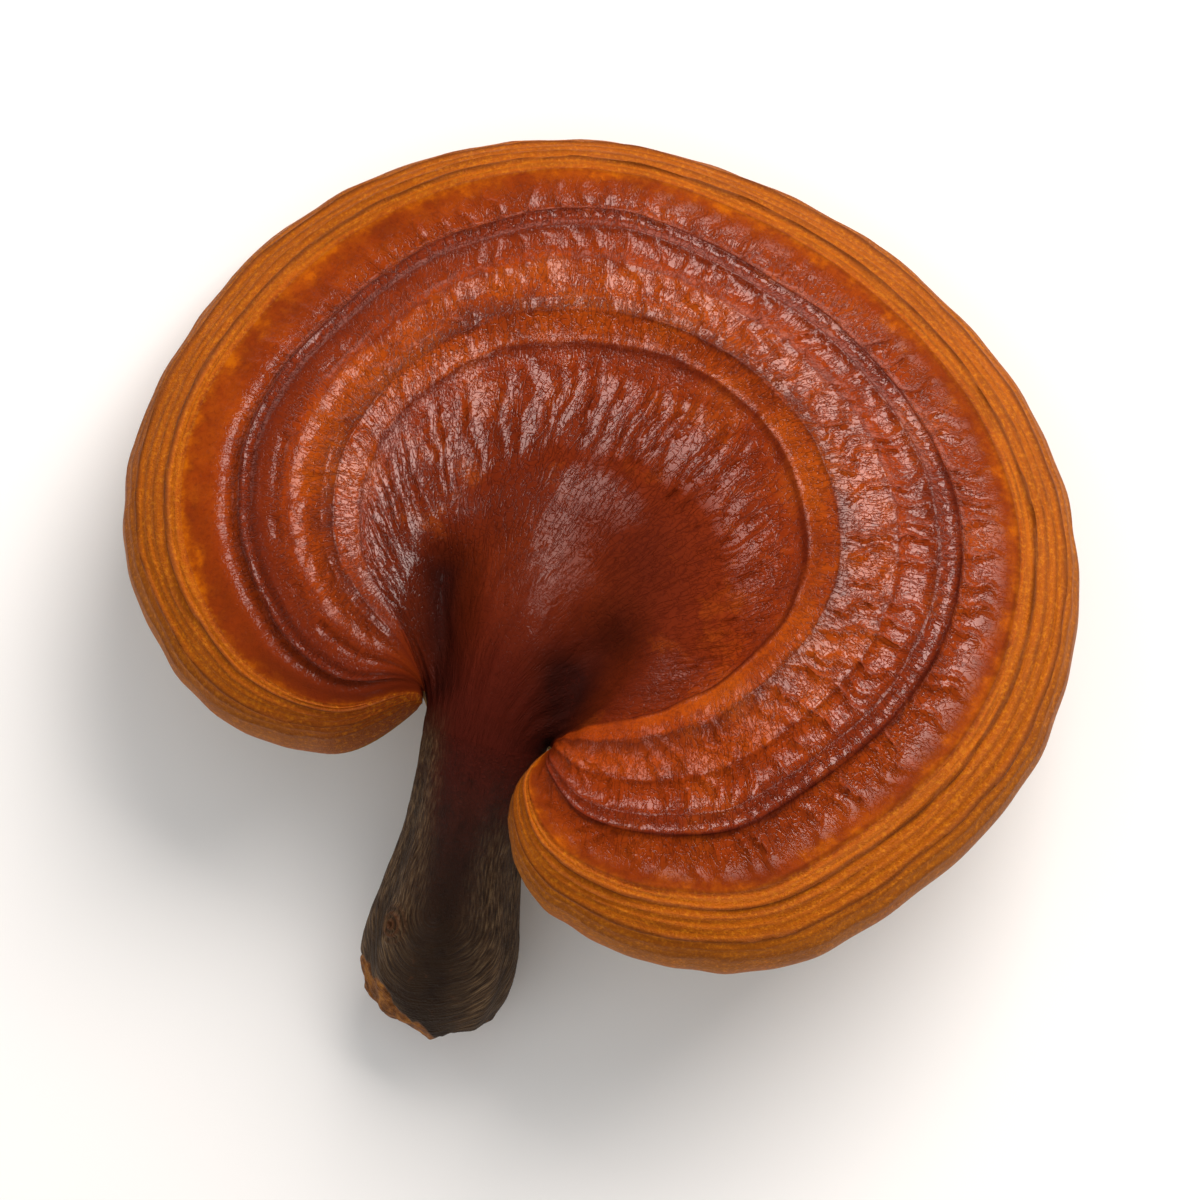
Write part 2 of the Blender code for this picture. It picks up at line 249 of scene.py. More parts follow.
@dataclass(frozen=True)
class Drawing:
    """The fruit body's driving sizes, in drawn millimetres in the cap's own frame, and its smooth forms.

    Each line has a point at every whole place, and swells, dulled, polished and the strokes of painted shade
    in the hollows beside the neck are soft strokes.
    The outer bark of a flank begins over a range of angles and a range of distances below the neck.
    """

    cap_width: float = 150 * MM
    drawn_width: float = 150.0
    rest_tilt: float = 15.7
    rest_roll: float = 0.42
    rest_shift: tuple[float, float, float] = (-0.05, -5.2, 26)
    margin: Table = (
        (-27.6, -18), (-42.8, -24.7), (-62.1, -17.2), (-74.9, 7), (-72.1, 35.5), (-53.6, 65.7),
        (-24.3, 78.6), (8.2, 78.8), (44.6, 64.8), (69.3, 35), (75.5, 0.4), (64.3, -33), (34.9, -58.2),
        (10.8, -61.3), (-9, -52), (-13.9, -38.3), (-7.7, -26.1),
    )
    outer_groove: Table = (
        (-27.5, -16), (-39.1, -18.9), (-49.6, -9.7), (-56, 8.1), (-53.2, 29.3), (-36.4, 50.9), (-16, 60.7),
        (6.4, 61.2), (33.7, 46.7), (51.1, 24.9), (55.8, 1.3), (46.6, -22.8), (24.2, -41.6), (9.1, -44.5),
        (-2.6, -41.7), (-7.8, -34), (-7.4, -26.8),
    )
    inner_groove: Table = (
        (-27.2, -16.1), (-32.7, -6.5), (-36.5, 0.8), (-37.3, 8.5), (-35.6, 17.6), (-29.5, 27.5),
        (-15.8, 36.9), (3.2, 37.6), (17.3, 31.9), (28.2, 19.7), (31.9, 3.3), (28.5, -9), (19.1, -19.4),
        (8.4, -24.9), (0.8, -26.6), (-4.3, -27), (-7.2, -26.6),
    )
    margin_lift: tuple[float, ...] = (0, 0, 0, 0, -1.5, -3.5, 1.5, 2, -3.5, -4, -1, 0, 0.5, 2, 4, 5, 3)
    outer_inset: float = 19.0
    inner_inset: float = 41.5
    neck_inset: float = 86.5
    roll_over: tuple[float, float] = (11, 9)
    roll_under: tuple[float, float] = (7, 7)
    dome: Table = ((0, 0), (6, 0.1), (11, 0.6), (19, 3.6), (25, 4.8), (31, 6.4), (36.5, 6), (41.5, 4.8))
    hollow: Table = ((0, 0), (7, 0), (20, 1.2), (41.5, 2.2))
    swells: Table = (
        (-24.2, -17, -24, 1.5, 3.8, -4.6), (-7, -24, -0.5, -12.5, 5, -4), (-1, -13, 8, -6, 6.5, -1.4),
        (-15.5, -20, -9.5, 3, 6.6, 3), (-5, 0.2, -7.7, 2.2, 6.4, -0.8), (-13.1, -3.4, -0.3, 6.9, 7.5, -1.2),
        (-7.2, 4, 8.9, 8, 4.8, -0.5), (-19.5, 6, -17.5, 15, 7.5, -1.5), (7.5, 8.8, 7.6, 8.9, 0.6, 0.6),
    )
    # Strokes of painted shade that darken the creases and pits beside the neck
    shade_strokes: Table = (
        (-24.6, -17, -24, 0.5, 3.2, 0.82), (-28.5, -8, -27, 1, 4, 0.35), (-7.5, -25, -5.5, -19, 5.4, 0.9),
        (-4.5, -16, 3, -11, 5, 0.46), (0, -9, 9, 4, 6, 0.22),
    )
    dulled: Table = (
        (-24, -17, -23.5, 4, 3.5, 1), (-5, -20, 6, -4, 7, 1), (7, 2, 13, 9, 7, 0.9),
        (-19, -16, -17, 6, 3.5, 0.9), (-19, 13.5, -6.5, 18.8, 2.4, 0.85), (-6.5, 18.8, 5, 16.6, 2.2, 0.85),
        (5, 15.8, 14, 6.8, 2.8, 0.9), (17, 0, 21, -14, 5.5, 0.95), (10, -5, 14, -13, 4, 0.95),
        (3, -32, 23, -30, 7, 0.7),
    )
    polished: Table = ((-8.5, -2, -5.5, 8, 3.2, 0.38), (-28, -2, -27, 8, 4.5, 0.8))
    margin_wave: tuple[float, float] = (0.25, 0.45)
    margin_wave_depth: float = 4.0
    lumps: tuple[float, float] = (0.25, 0.9)
    flank_height: tuple[float, float] = (1, 2.5)
    end_run: tuple[float, float] = (1, 2)
    neck: tuple[float, float, float] = (-17.8, -21.9, -2)
    neck_half_width: float = 9.9
    neck_rise: float = 9.0
    neck_drop: float = 10.0
    neck_heading: float = math.radians(-108.7)
    neck_dip: float = math.radians(33)
    neck_fade: float = 16.0
    loft_pull: float = 0.35
    stem_lead: float = 9.0
    stem_bend: tuple[float, float, float] = (-22.6, -42, -17)
    stem_tip: tuple[float, float, float] = (-27.6, -55, -36.5)
    stem_size: Table = (
        (0, 9.9, 9.5), (0.2, 9.2, 9), (0.45, 9.3, 9.2), (0.65, 10.7, 10), (0.8, 12, 11), (0.9, 11.9, 10.9),
        (0.97, 10.4, 9.6), (1, 8, 7.4),
    )
    stem_length: float = 46.0
    stem_radius: float = 10.5
    foot_begins: float = 30.0
    bark_left: Table = ((1.85, 2.5), (-5, 7))
    bark_right: Table = ((1.4, 0.6), (10, 24))
    bark_twist: float = 0.22
    bark_twists: Range = (8, 30)

    @property
    def last(self) -> int:
        """The last place along a growth line."""
        return len(self.margin) - 1

    @property
    def lines(self) -> tuple[Table, ...]:
        """The growth lines that the cap is swept between, from the margin inwards."""
        return self.margin, self.outer_groove, self.inner_groove

    def rest(self) -> Matrix:
        """Gives how the mushroom lies.

        Returns:
            The matrix from drawn millimetres to metres on the floor.
        """
        tip = Matrix.Rotation(math.radians(-self.rest_tilt), 4, "X")
        tip = tip @ Matrix.Rotation(math.radians(self.rest_roll), 4, "Y")
        return Matrix.Scale(self.cap_width / self.drawn_width, 4) @ Matrix.Translation(self.rest_shift) @ tip

    def neck_axes(self) -> tuple[Array, Array, Array]:
        """Gives the axes of the neck's section, where cap and stem meet.

        Returns:
            Unit vectors across it, up it, and back along the stem's axis.
        """
        heading = np.array([math.cos(self.neck_heading), math.sin(self.neck_heading)])
        down = np.array([*(heading * math.cos(self.neck_dip)), -math.sin(self.neck_dip)])
        across = np.array([-heading[1], heading[0], 0.0])
        up = np.array([*(heading * math.sin(self.neck_dip)), math.cos(self.neck_dip)])
        return across, up, -down

    def neck_angle(self, t: Array, side: Side) -> Array:
        """Gives the angle round the neck where a growth line's place ends."""
        return math.pi * (1 - t / self.last) * side.value

    def neck_ring(self, angle: Array) -> Array:
        """Gives the edge of the neck's section.

        Args:
            angle: Angle round it, 0 at its right flank and 90 degrees at its top.

        Returns:
            The points.
        """
        across, up, _ = self.neck_axes()
        high = np.where(np.sin(angle) > 0, self.neck_rise, self.neck_drop)
        side = self.neck_half_width * np.cos(angle)[..., None] * across
        return np.array(self.neck) + side + (high * np.sin(angle))[..., None] * up

    def places(self, rows: Array, count: int) -> Places:
        """Shares out the growth lines' length evenly.

        Args:
            rows: Inset of each row of a grid.
            count: How many stretches a growth line has.

        Returns:
            The places of the grid's points.
        """
        fine = np.linspace(0, self.last, 1601)
        length = np.zeros(len(fine))
        for line in self.lines:
            step = np.linalg.norm(np.diff(spline(line, fine), axis=0), axis=1)
            length[1:] += np.cumsum(step) / len(self.lines)
        even = np.linspace(0, length[-1], count + 1)
        inset, t = np.meshgrid(rows, np.interp(even, length, fine), indexing="ij")
        return Places(inset, t, np.broadcast_to(even, inset.shape))

    def lobe_end(self, t: Array) -> Array:
        """Gives 0 where a lobe meets the neck and 1 along it, rising as a round end does."""
        reach = np.clip(np.minimum(t / self.end_run[0], (self.last - t) / self.end_run[1]), 0, 1)
        return np.sqrt(1 - (1 - reach) ** 2)

    def face(self, at: Places, side: Side) -> Array:
        """Gives a face of the cap without its relief.

        Args:
            at: Where the grid's points are.
            side: Which face.

        Returns:
            The grid of points.
        """
        inset, t = at.inset, at.t
        edge, outer, inner = (spline(line, t) for line in self.lines)
        wave, pitch = self.margin_wave
        wave = wave * ripple(t, pitch, 3) * self.lobe_end(t) * smooth(self.margin_wave_depth, 0, inset)
        edge = edge + wave[..., None] * unit(edge - outer)
        to_outer = np.clip(inset / self.outer_inset, 0, 1)[..., None]
        to_inner = (inset - self.outer_inset) / (self.inner_inset - self.outer_inset)
        to_inner = np.clip(to_inner, 0, 1)[..., None]
        plan = edge + (outer - edge) * to_outer + (inner - outer) * to_inner
        lift = spline(np.array(self.margin_lift)[:, None], t)[..., 0] * smooth(self.inner_inset, 0, inset)
        reach = np.minimum(inset, self.inner_inset)
        over = side is Side.UPPER
        width, rise = self.roll_over if over else self.roll_under
        roll = rise * np.sqrt(1 - (1 - np.clip(reach / width, 0, 1)) ** 2)
        height = roll + profile(self.dome, reach) if over else profile(self.hollow, reach) - roll
        left, right = self.flank_height
        flank = left + (right - left) * t / self.last
        height = flank + (lift + height - flank) * self.lobe_end(t)
        place = np.concatenate([plan, height[..., None]], axis=-1)

        # Inside the inner groove the face runs on to the neck, and leaves it along the stem's axis
        start = self.neck_ring(self.neck_angle(t, side))
        run = np.linalg.norm(place - start, axis=-1, keepdims=True)
        level = place + self.loft_pull * (start - place) * np.array([1, 1, 0])
        f = np.clip((self.neck_inset - inset) / (self.neck_inset - self.inner_inset), 0, 1)[..., None]
        lead = start + self.loft_pull * run * self.neck_axes()[2]
        loft = (1 - f) ** 3 * start + 3 * f * (1 - f) ** 2 * lead
        loft = loft + 3 * f ** 2 * (1 - f) * level + f ** 3 * place
        return np.where(inset[..., None] < self.inner_inset, place, loft)

    def shaped(self, at: Places) -> Array:
        """Gives the upper face with its low places and rises, but none of its rings and wrinkles.

        Args:
            at: Where the grid's points are.

        Returns:
            The grid of points.
        """
        grid = self.face(at, Side.UPPER)
        free = smooth(self.neck_inset, self.neck_inset - self.neck_fade, at.inset) * self.lobe_end(at.t)
        grid[..., 2] += spread(grid, self.swells) * free
        return grid

    def stem_skin(self, share: Array, angle: Array, bark: Array) -> Array:
        """Gives points of the stem's skin.

        Args:
            share: Share of the stem's length, from the neck.
            angle: Angle round it, as on the neck's ring.
            bark: Height of its bark there.

        Returns:
            The points.
        """
        across, up, back = self.neck_axes()
        start, bend, tip = (np.array(p) for p in (self.neck, self.stem_bend, self.stem_tip))
        first = start - back * self.stem_lead
        f = share[..., None]
        g = 1 - f
        axis = g ** 3 * start + 3 * g * g * f * first + 3 * g * f * f * bend + f ** 3 * tip
        along = unit(3 * g * g * (first - start) + 6 * g * f * (bend - first) + 3 * f * f * (tip - bend))
        side = unit(across - along * (along @ across)[..., None])
        top = np.cross(side, along)
        top = np.where((top @ up)[..., None] < 0, -top, top)
        wide, thick = (profile([(row[0], row[k]) for row in self.stem_size], share) for k in (1, 2))
        high = thick * np.where(np.sin(angle) > 0, self.neck_rise, self.neck_drop) / self.stem_size[0][2]
        sideways = ((wide + bark) * np.cos(angle))[..., None] * side
        return axis + sideways + ((high + bark) * np.sin(angle))[..., None] * top

    def fibre(self, angle: Array, down: Array) -> tuple[Array, Array]:
        """Gives the place of a point among the stem's fibres, which run down the flanks and round the foot.

        Args:
            angle: Angle round the stem, as on the neck's ring.
            down: Distance below the neck.

        Returns:
            Distance across the fibres, and the sideways distance from the stem's top line.
        """
        aside = ((angle + math.pi / 2) % FULL_TURN - math.pi) * self.stem_radius
        below = 1.2 * np.clip(down - self.foot_begins, 0, None)
        stray = 0.8 * waves(aside / 7, down / 12, 67) + 0.22 * waves(aside / 2.5, down / 5, 69)
        return np.hypot(aside, below) + stray, aside

    def flank(self, angle: Array, down: Array) -> Array:
        """Gives where the stem has olive-grey outer bark, and not its smooth dark front.

        Args:
            angle: Angle round the stem, as on the neck's ring.
            down: Distance below the neck.

        Returns:
            How much of each point the bark covers.
        """
        turned = (angle + math.pi / 2) % FULL_TURN - math.pi / 2
        twisted = turned + self.bark_twist * smooth(*self.bark_twists, down)
        left = smooth(*self.bark_left[0], twisted) * smooth(*self.bark_left[1], down)
        right = smooth(*self.bark_right[0], turned) * smooth(*self.bark_right[1], down)
        return np.maximum(left, right)


DRAWING = Drawing()


def linear(colour: str) -> tuple[float, float, float, float]:
    """Turns an sRGB hex colour to linear red, green, blue and alpha."""
    parts = [int(colour[i:i + 2], 16) / 255 for i in (1, 3, 5)]
    return (*(c / 12.92 if c <= 0.04045 else ((c + 0.055) / 1.055) ** 2.4 for c in parts), 1.0)


def per(size: float) -> float:
    """Gives how many steps of a size in millimetres go to a metre, as a pattern's scale."""
    return 1 / (size * MM)


def fill(tree: Tree, made: Node, values: dict[object, object]) -> None:
    """Fills a node's inputs.

    Args:
        tree: The node tree.
        made: The node.
        values: For an input's name or number a value, an sRGB hex colour or a socket; None leaves it.
    """
    for key, value in values.items():
        if isinstance(value, Socket):
            tree.links.new(value, made.inputs[key])
        elif value is not None:
            made.inputs[key].default_value = linear(value) if isinstance(value, str) else value


def node(tree: Tree, kind: str, *inputs: object, stops: Stops = (), **named: object) -> Node:
    """Adds a shader node.

    Args:
        tree: The node tree.
        kind: The node's type, without its ShaderNode prefix.
        inputs: What fills its first inputs.
        stops: Place and sRGB hex colour of each stop, for a node with a colour ramp.
        named: What fills further inputs, by names with a capital, and the node's own settings.

    Returns:
        The node.
    """
    made = tree.nodes.new("ShaderNode" + kind)
    for key in [key for key in named if key.islower()]:
        setattr(made, key, named.pop(key))
    fill(tree, made, {**dict(enumerate(inputs)), **named})
    for k, (place, colour) in enumerate(stops):
        band = made.color_ramp.elements
        stop = band[k] if k < 2 else band.new(place)
        stop.position, stop.color = place, linear(colour)
    return made


def woven(name: str, rows: Array, attributes: dict[str, Array]) -> Piece:
    """Lays a grid primitive over a grid of points.

    The crust's growth lines crowd together at the neck and its wrinkles are smaller than a modelling tool
    can be set to by hand, so the grid's points are moved to computed places.

    Args:
        name: The new piece's name.
        rows: Points, rows by columns, in drawn millimetres.
        attributes: Further vectors for each point, by name.

    Returns:
        The piece, its mesh in drawn millimetres.
    """
    down, across = rows.shape[:2]
    bpy.ops.object.select_all(action="DESELECT")
    bpy.ops.mesh.primitive_grid_add(x_subdivisions=across - 1, y_subdivisions=down - 1, size=2)
    piece = bpy.context.active_object
    piece.name = piece.data.name = name
    flat = np.empty(down * across * 3, np.float32)
    piece.data.vertices.foreach_get("co", flat)
    flat = flat.reshape(-1, 3)
    column = np.rint((flat[:, 0] + 1) / 2 * (across - 1)).astype(int)
    row = np.rint((1 - flat[:, 1]) / 2 * (down - 1)).astype(int)
    piece.data.vertices.foreach_set("co", rows[row, column].astype(np.float32).ravel())
    for key, values in attributes.items():
        layer = piece.data.attributes.new(key, "FLOAT_VECTOR", "POINT")
        layer.data.foreach_set("vector", values[row, column].astype(np.float32).ravel())
    while piece.data.uv_layers:
        piece.data.uv_layers.remove(piece.data.uv_layers[0])
    piece.data.update()
    return piece


def close_and_place(piece: Piece, weld: float = 1e-4, sharp: float = math.radians(75)) -> None:
    """Welds a drawn piece, closes its open ends, lays it on the floor and presses its feet flat.

    Args:
        piece: The piece, in drawn millimetres.
        weld: Points this near become one.
        sharp: Edges that turn more than this stay sharp.
    """
    bpy.ops.object.select_all(action="DESELECT")
    piece.select_set(True)
    bpy.context.view_layer.objects.active = piece
    bpy.ops.object.mode_set(mode="EDIT")
    bpy.ops.mesh.select_all(action="SELECT")
    bpy.ops.mesh.remove_doubles(threshold=weld)
    bpy.ops.mesh.dissolve_degenerate(threshold=weld)
    bpy.ops.mesh.select_all(action="DESELECT")
    bpy.ops.mesh.select_mode(type="EDGE")
    bpy.ops.mesh.select_non_manifold(extend=False)
    bpy.ops.mesh.edge_face_add()
    bpy.ops.mesh.select_all(action="SELECT")
    bpy.ops.mesh.normals_make_consistent(inside=False)
    bpy.ops.object.mode_set(mode="OBJECT")
    piece.data.transform(DRAWING.rest())
    bpy.ops.object.mode_set(mode="EDIT")
    bpy.ops.mesh.select_all(action="SELECT")
    bpy.ops.mesh.bisect(
        plane_co=(0, 0, 0), plane_no=(0, 0, 1), use_fill=True, clear_inner=True, threshold=1e-6
    )
    bpy.ops.mesh.select_all(action="DESELECT")
    bpy.ops.object.mode_set(mode="OBJECT")
    bpy.ops.object.shade_smooth_by_angle(angle=sharp)


@dataclass(frozen=True)
class Ring:
    """A groove or ridge that runs round the cap along its growth lines, in millimetres."""

    inset: float
    half: float
    height: float
    sides: tuple[float, ...] = (1, 1, 1, 1, 1)
    flat: float = 2.0
    broken: float = 0.0

    def relief(self, at: Places) -> Array:
        """Gives the ring's height, lower here and there if it is broken.

        Args:
            at: Where the grid's points are.

        Returns:
            The height at each point.
        """
        gap = smooth(-0.1, 0.4, waves(at.along / 5.5, np.full(at.t.shape, self.inset), 81))
        strength = np.interp(at.t, SIDES, self.sides) * (1 - self.broken * gap)
        return self.height * strength * np.exp(-np.abs((at.inset - self.inset) / self.half) ** self.flat)


@dataclass(frozen=True)
class Band:
    """A growth band whose crust has shrunk into pillows, parted by creases across the growth lines."""

    start: float
    lead: float
    tail: float
    end: float
    pitch: float
    height: float
    crease: float
    slant: float
    sides: tuple[float, ...]
    seed: int
    crease_half: float = 0.36

    def relief(self, at: Places) -> Array:
        """Gives the height of the band's pillows and creases.

        Args:
            at: Where the grid's points are.

        Returns:
            The height in millimetres at each point.
        """
        wander = 0.45 * waves(at.along / 8, at.inset / 4, self.seed + 50)
        u = (at.along + self.slant * (at.inset - (self.start + self.end) / 2)) / self.pitch + wander
        base = np.floor(u)
        nearest = np.full(u.shape, 9.0)
        crease = np.zeros(u.shape)
        for step in (-1, 0, 1, 2):
            k = base + step
            edge = k + 0.7 * (lattice(k, self.seed, 1) - 0.5)
            depth = 0.35 + 0.65 * lattice(k, self.seed, 2)
            away = np.abs(u - edge)
            nearest = np.minimum(nearest, away)
            crease += depth * np.exp(-(away * self.pitch / self.crease_half) ** 2)
        dome = 1 - (1 - np.clip(2 * nearest, 0, 1)) ** 4
        across = smooth(self.start, self.start + self.lead, at.inset)
        across = across * smooth(self.end, self.end - self.tail, at.inset)
        return np.interp(at.t, SIDES, self.sides) * across * (self.height * dome - self.crease * crease)


@dataclass(frozen=True)
class Cap:
    """The cap: lacquered crust above, rolled margin round it, pore surface below.

    A range is of insets from where something begins to where it is in full, and resin thins by depth.
    Straying holds how far the growth lines stray on the margin and on the crust, over what lengths along
    and across them, and a seed. The thinned tables hold from where to where columns are put in groups.
    """

    columns: int = 720
    crust_step: float = 0.56
    centre_step: float = 0.66
    margin_rows: int = 44
    under_turns: int = 12
    under_step: float = 1.5
    under_rows: int = 18
    crust_from: float = 9.9
    pores_from: float = 2.0
    bare_edge: float = 0.6
    brim: Range = (11, 9)
    crusted: Range = (8, 14)
    lumps_begin: Range = (10, 14)
    lumps_end: Range = (70, 50)
    inward: Range = (38, 46)
    centre: Range = (52, 60)
    folded: Range = (58, 68)
    fold_height: float = 0.55
    ridge_height: float = 0.06
    pebble_height: float = 0.05
    neck_shaded: Range = (45, 55)
    shiny: Range = (45, 52)
    # Where the painted shade beside the neck begins and where it is in full
    resin_thins: Range = (-0.25, 0.02)
    thinned_over: Table = ((0, 9, 2), (39, 58, 2), (58, 72, 4), (72, 90, 8))
    thinned_under: Table = ((0, 7, 2), (7, 72, 4), (72, 90, 8))
    straying: Table = (
        (0, 0.22, 16, 6, 31), (0.3, 0, 11, 3, 32), (0.16, 0, 4, 1.5, 36), (0.05, 0.1, 5, 3, 33),
    )
    rings: tuple[Ring, ...] = (
        Ring(0.6, 0.25, -0.2), Ring(1.6, 0.22, -0.22), Ring(2.75, 0.26, -0.5), Ring(4.3, 0.22, -0.22),
        Ring(5.6, 0.24, -0.28), Ring(7.3, 0.28, -0.55), Ring(8.6, 0.22, -0.2),
        Ring(9.9, 0.4, -0.3, (0.2, 0.2, 0.8, 1, 0.6)), Ring(15.2, 2.4, 0.4, (0, 0, 0.8, 0.9, 0.5)),
        Ring(16.9, 1.5, 1.6, (0.6, 1, 0.35, 0, 0), 2, 0.1),
        Ring(18.85, 0.34, -0.45, (0.2, 0.4, 0.7, 1, 0.4)), Ring(20.3, 0.9, 0.28, (0, 0, 0.8, 1, 0.3), 4),
        Ring(20.2, 1.05, 0.75, (0.5, 1, 0.3, 0, 0), 2, 0.2),
        Ring(22.1, 0.34, -0.24, (0.2, 0.3, 0.7, 0.8, 0.3)), Ring(25.4, 2.2, 0.35, (0, 0, 0.7, 0.9, 0.2)),
        Ring(25.6, 0.9, 0.6, (0.7, 1, 0.3, 0, 0), 2, 0.85), Ring(32.4, 2.8, 0.55, (0, 0, 0.7, 1, 0.3)),
        Ring(28, 0.45, -0.3, (0, 0.2, 0.6, 1, 0.3)), Ring(31, 2.8, 1.3, (0.7, 1, 0.3, 0, 0), 2, 0.1),
        Ring(36.5, 0.32, -0.28, (0.3, 0.8, 1, 0.4, 0.2)),
        Ring(34.2, 0.3, -0.22, (0.3, 1, 0.3, 0, 0), 2, 0.5), Ring(38.9, 1.5, 0.4, (0.2, 0.3, 0.5, 0, 0)),
        Ring(39.2, 2, -0.5, (0, 0, 0.2, 1, 0.6)), Ring(41.5, 0.6, -0.4, (0.3, 0.5, 0.8, 1, 0.8)),
        Ring(49, 4.5, 0.8, (0.3, 0.8, 1, 0.6, 0.2)), Ring(60, 3.2, -0.8, (0, 0.6, 1, 0.8, 0)),
    )
    bands: tuple[Band, ...] = (
        Band(10.6, 4, 0.9, 18.8, 4.5, 0.54, 0.46, 0.15, (0.1, 0.25, 0.9, 1, 0.3), 3),
        Band(19.3, 0.4, 0.4, 21.5, 2.4, 0.10, 0.30, 0.1, (0.3, 0.6, 0.9, 1, 0.3), 17),
        Band(22.2, 1.4, 2.4, 29.6, 4.8, 0.50, 0.42, -0.25, (0.1, 0.15, 0.9, 1, 0.2), 5),
        Band(27.4, 3, 4, 37, 6.4, 0.60, 0.40, -0.7, (0.3, 0.4, 0.9, 1, 0.2), 7),
        Band(36.7, 1.5, 1.5, 41.4, 4.6, 0.26, 0.24, 0.3, (0.3, 0.6, 0.9, 0.25, 0), 11),
        Band(42.5, 2.5, 5, 57, 6.4, 0.75, 0.34, -0.2, (0.3, 0.4, 1, 0.4, 0), 13),
    )
    wrinkling: SideTable = (
        (9.9, (0, 0, 0, 0, 0)), (12, (0.1, 0.05, 0.4, 0.3, 0.1)), (15, (0.2, 0.15, 0.8, 0.8, 0.3)),
        (17, (0.8, 1, 0.9, 0.9, 0.3)), (21, (0.8, 1, 1, 1, 0.4)), (23, (0.4, 0.3, 0.7, 0.9, 0.3)),
        (25.6, (0.8, 0.9, 0.8, 0.9, 0.3)), (28, (0.6, 0.5, 0.7, 0.9, 0.3)), (31, (0.8, 0.9, 0.9, 1, 0.4)),
        (36, (0.8, 1, 1, 0.9, 0.3)), (41, (0.8, 1, 0.9, 0.5, 0.3)), (44, (0.8, 1, 1, 0.9, 0.3)),
        (54, (0.8, 1, 1, 0.7, 0.3)), (64, (0.6, 0.9, 0.9, 0.5, 0.3)), (78, (0.5, 0.5, 0.5, 0.5, 0.4)),
        (86.5, (0.2, 0.2, 0.2, 0.2, 0.2)),
    )
    warmth: SideTable = (
        (9.9, (-0.8, 0.1, 0, 0, -0.2)), (14, (-1, 0.1, -0.1, -0.1, 0)), (18, (-1, -0.1, 0, 0, -0.7)),
        (22, (-0.8, -0.8, -0.1, 0, -0.7)), (25, (-0.8, -0.7, -0.1, 0, -0.7)),
        (29, (-0.8, 0.3, 0.1, 0.1, -0.6)), (36, (-0.9, 0.15, 0.1, 0.2, -0.7)),
        (40, (-0.9, 0, 0.1, 0.4, -0.6)), (43, (-0.9, 0.1, 0, 0.1, -0.5)),
        (50, (-0.8, 0.1, -0.2, 0.1, -0.2)), (57, (-0.6, 0, -0.3, 0, -0.1)),
        (66, (-0.4, -0.4, -0.4, -0.3, 0)), (76, (-0.4, -0.4, -0.4, -0.4, -0.4)),
    )
    gloss: SideTable = (
        (9.9, (0, 0, 0, 0, 0)), (11.5, (0, 0.02, 0.03, 0.03, 0)), (13, (0.1, 0.2, 0.35, 0.35, 0.05)),
        (15, (0.3, 0.5, 0.9, 0.95, 0.05)), (16.5, (0.5, 0.9, 1, 1, 0.1)), (18, (0.6, 1, 1, 1, 0.1)),
        (21, (0.6, 0.6, 1, 1, 0.2)), (23.5, (0.3, 0.2, 0.9, 1, 0.1)), (25.5, (0.6, 0.9, 0.9, 1, 0.1)),
        (28, (0.3, 0.5, 0.9, 1, 0.1)), (31, (0.6, 1, 1, 1, 0)), (37, (0.6, 1, 0.8, 0.7, 0)),
        (40, (0.6, 1, 0.65, 0.25, 0)), (44, (0.8, 1, 0.8, 0.6, 0)), (52, (0.9, 1, 0.6, 0.45, 0)),
        (57, (0.9, 1, 0.4, 0.25, 0)), (60, (0.8, 0.9, 0.15, 0.15, 0.1)), (66, (0.7, 0.8, 0.2, 0.1, 0.1)),
        (74, (0.3, 0.3, 0.25, 0.1, 0.1)), (83, (0, 0, 0, 0, 0)),
    )

    def insets(self) -> Array:
        """Gives the insets of the upper face's rows, which crowd on the margin and at narrow rings.

        Returns:
            The insets.
        """
        turn = np.linspace(0, math.pi / 2, self.margin_rows + 1)
        width = DRAWING.roll_over[0]
        fine = np.linspace(width, DRAWING.neck_inset, 6001)
        spacing = np.where(fine < DRAWING.inner_inset + 1, self.crust_step, self.centre_step)
        for ring in self.rings:
            near = np.exp(-((fine - ring.inset) / (2.2 * ring.half)) ** 2)
            spacing = np.minimum(spacing, spacing + (0.8 * ring.half - spacing) * near)
        count = np.concatenate([[0], np.cumsum((fine[1] - fine[0]) / spacing[1:])])
        inner = np.interp(np.linspace(0, count[-1], round(count[-1]) + 1)[1:], count, fine)
        return np.concatenate([width * (1 - np.cos(turn)), inner])

    def wrinkles(self, grid: Array, at: Places) -> Array:
        """Gives the height of the finer wrinkles.

        Args:
            grid: The points.
            at: Where they are.

        Returns:
            The height in millimetres at each point.
        """
        inset, along = at.inset, at.along
        bend = 1.2 * waves(along / 9, inset / 7, 21)
        fine = creased(along / 2.1 + bend, inset / 4.5 + 0.5 * bend, 23)
        inward = creased(along / 4.6 + bend, inset / 5.5 + 0.5 * bend, 27)
        inside = smooth(*self.inward, inset)
        across = fine + (inward - fine) * inside
        x, y = grid[..., 0], grid[..., 1]
        turn = 0.7 * waves(x / 8, y / 8, 35)
        short = creased(x / 2.9 + turn, y / 2.9 - turn, 29)
        centre = smooth(*self.centre, inset)
        height = (0.055 + 0.045 * inside - 0.03 * centre) * across + (0.05 + 0.13 * centre) * short
        folds = creased(at.t * 1.15 + 0.5 * turn, inset / 17 + 0.3 * turn, 37, 1)
        near = smooth(*self.folded, inset) * smooth(DRAWING.neck_inset, DRAWING.neck_inset - 6, inset)
        return at.by_side(self.wrinkling) * height + self.fold_height * near * (folds - 0.35)

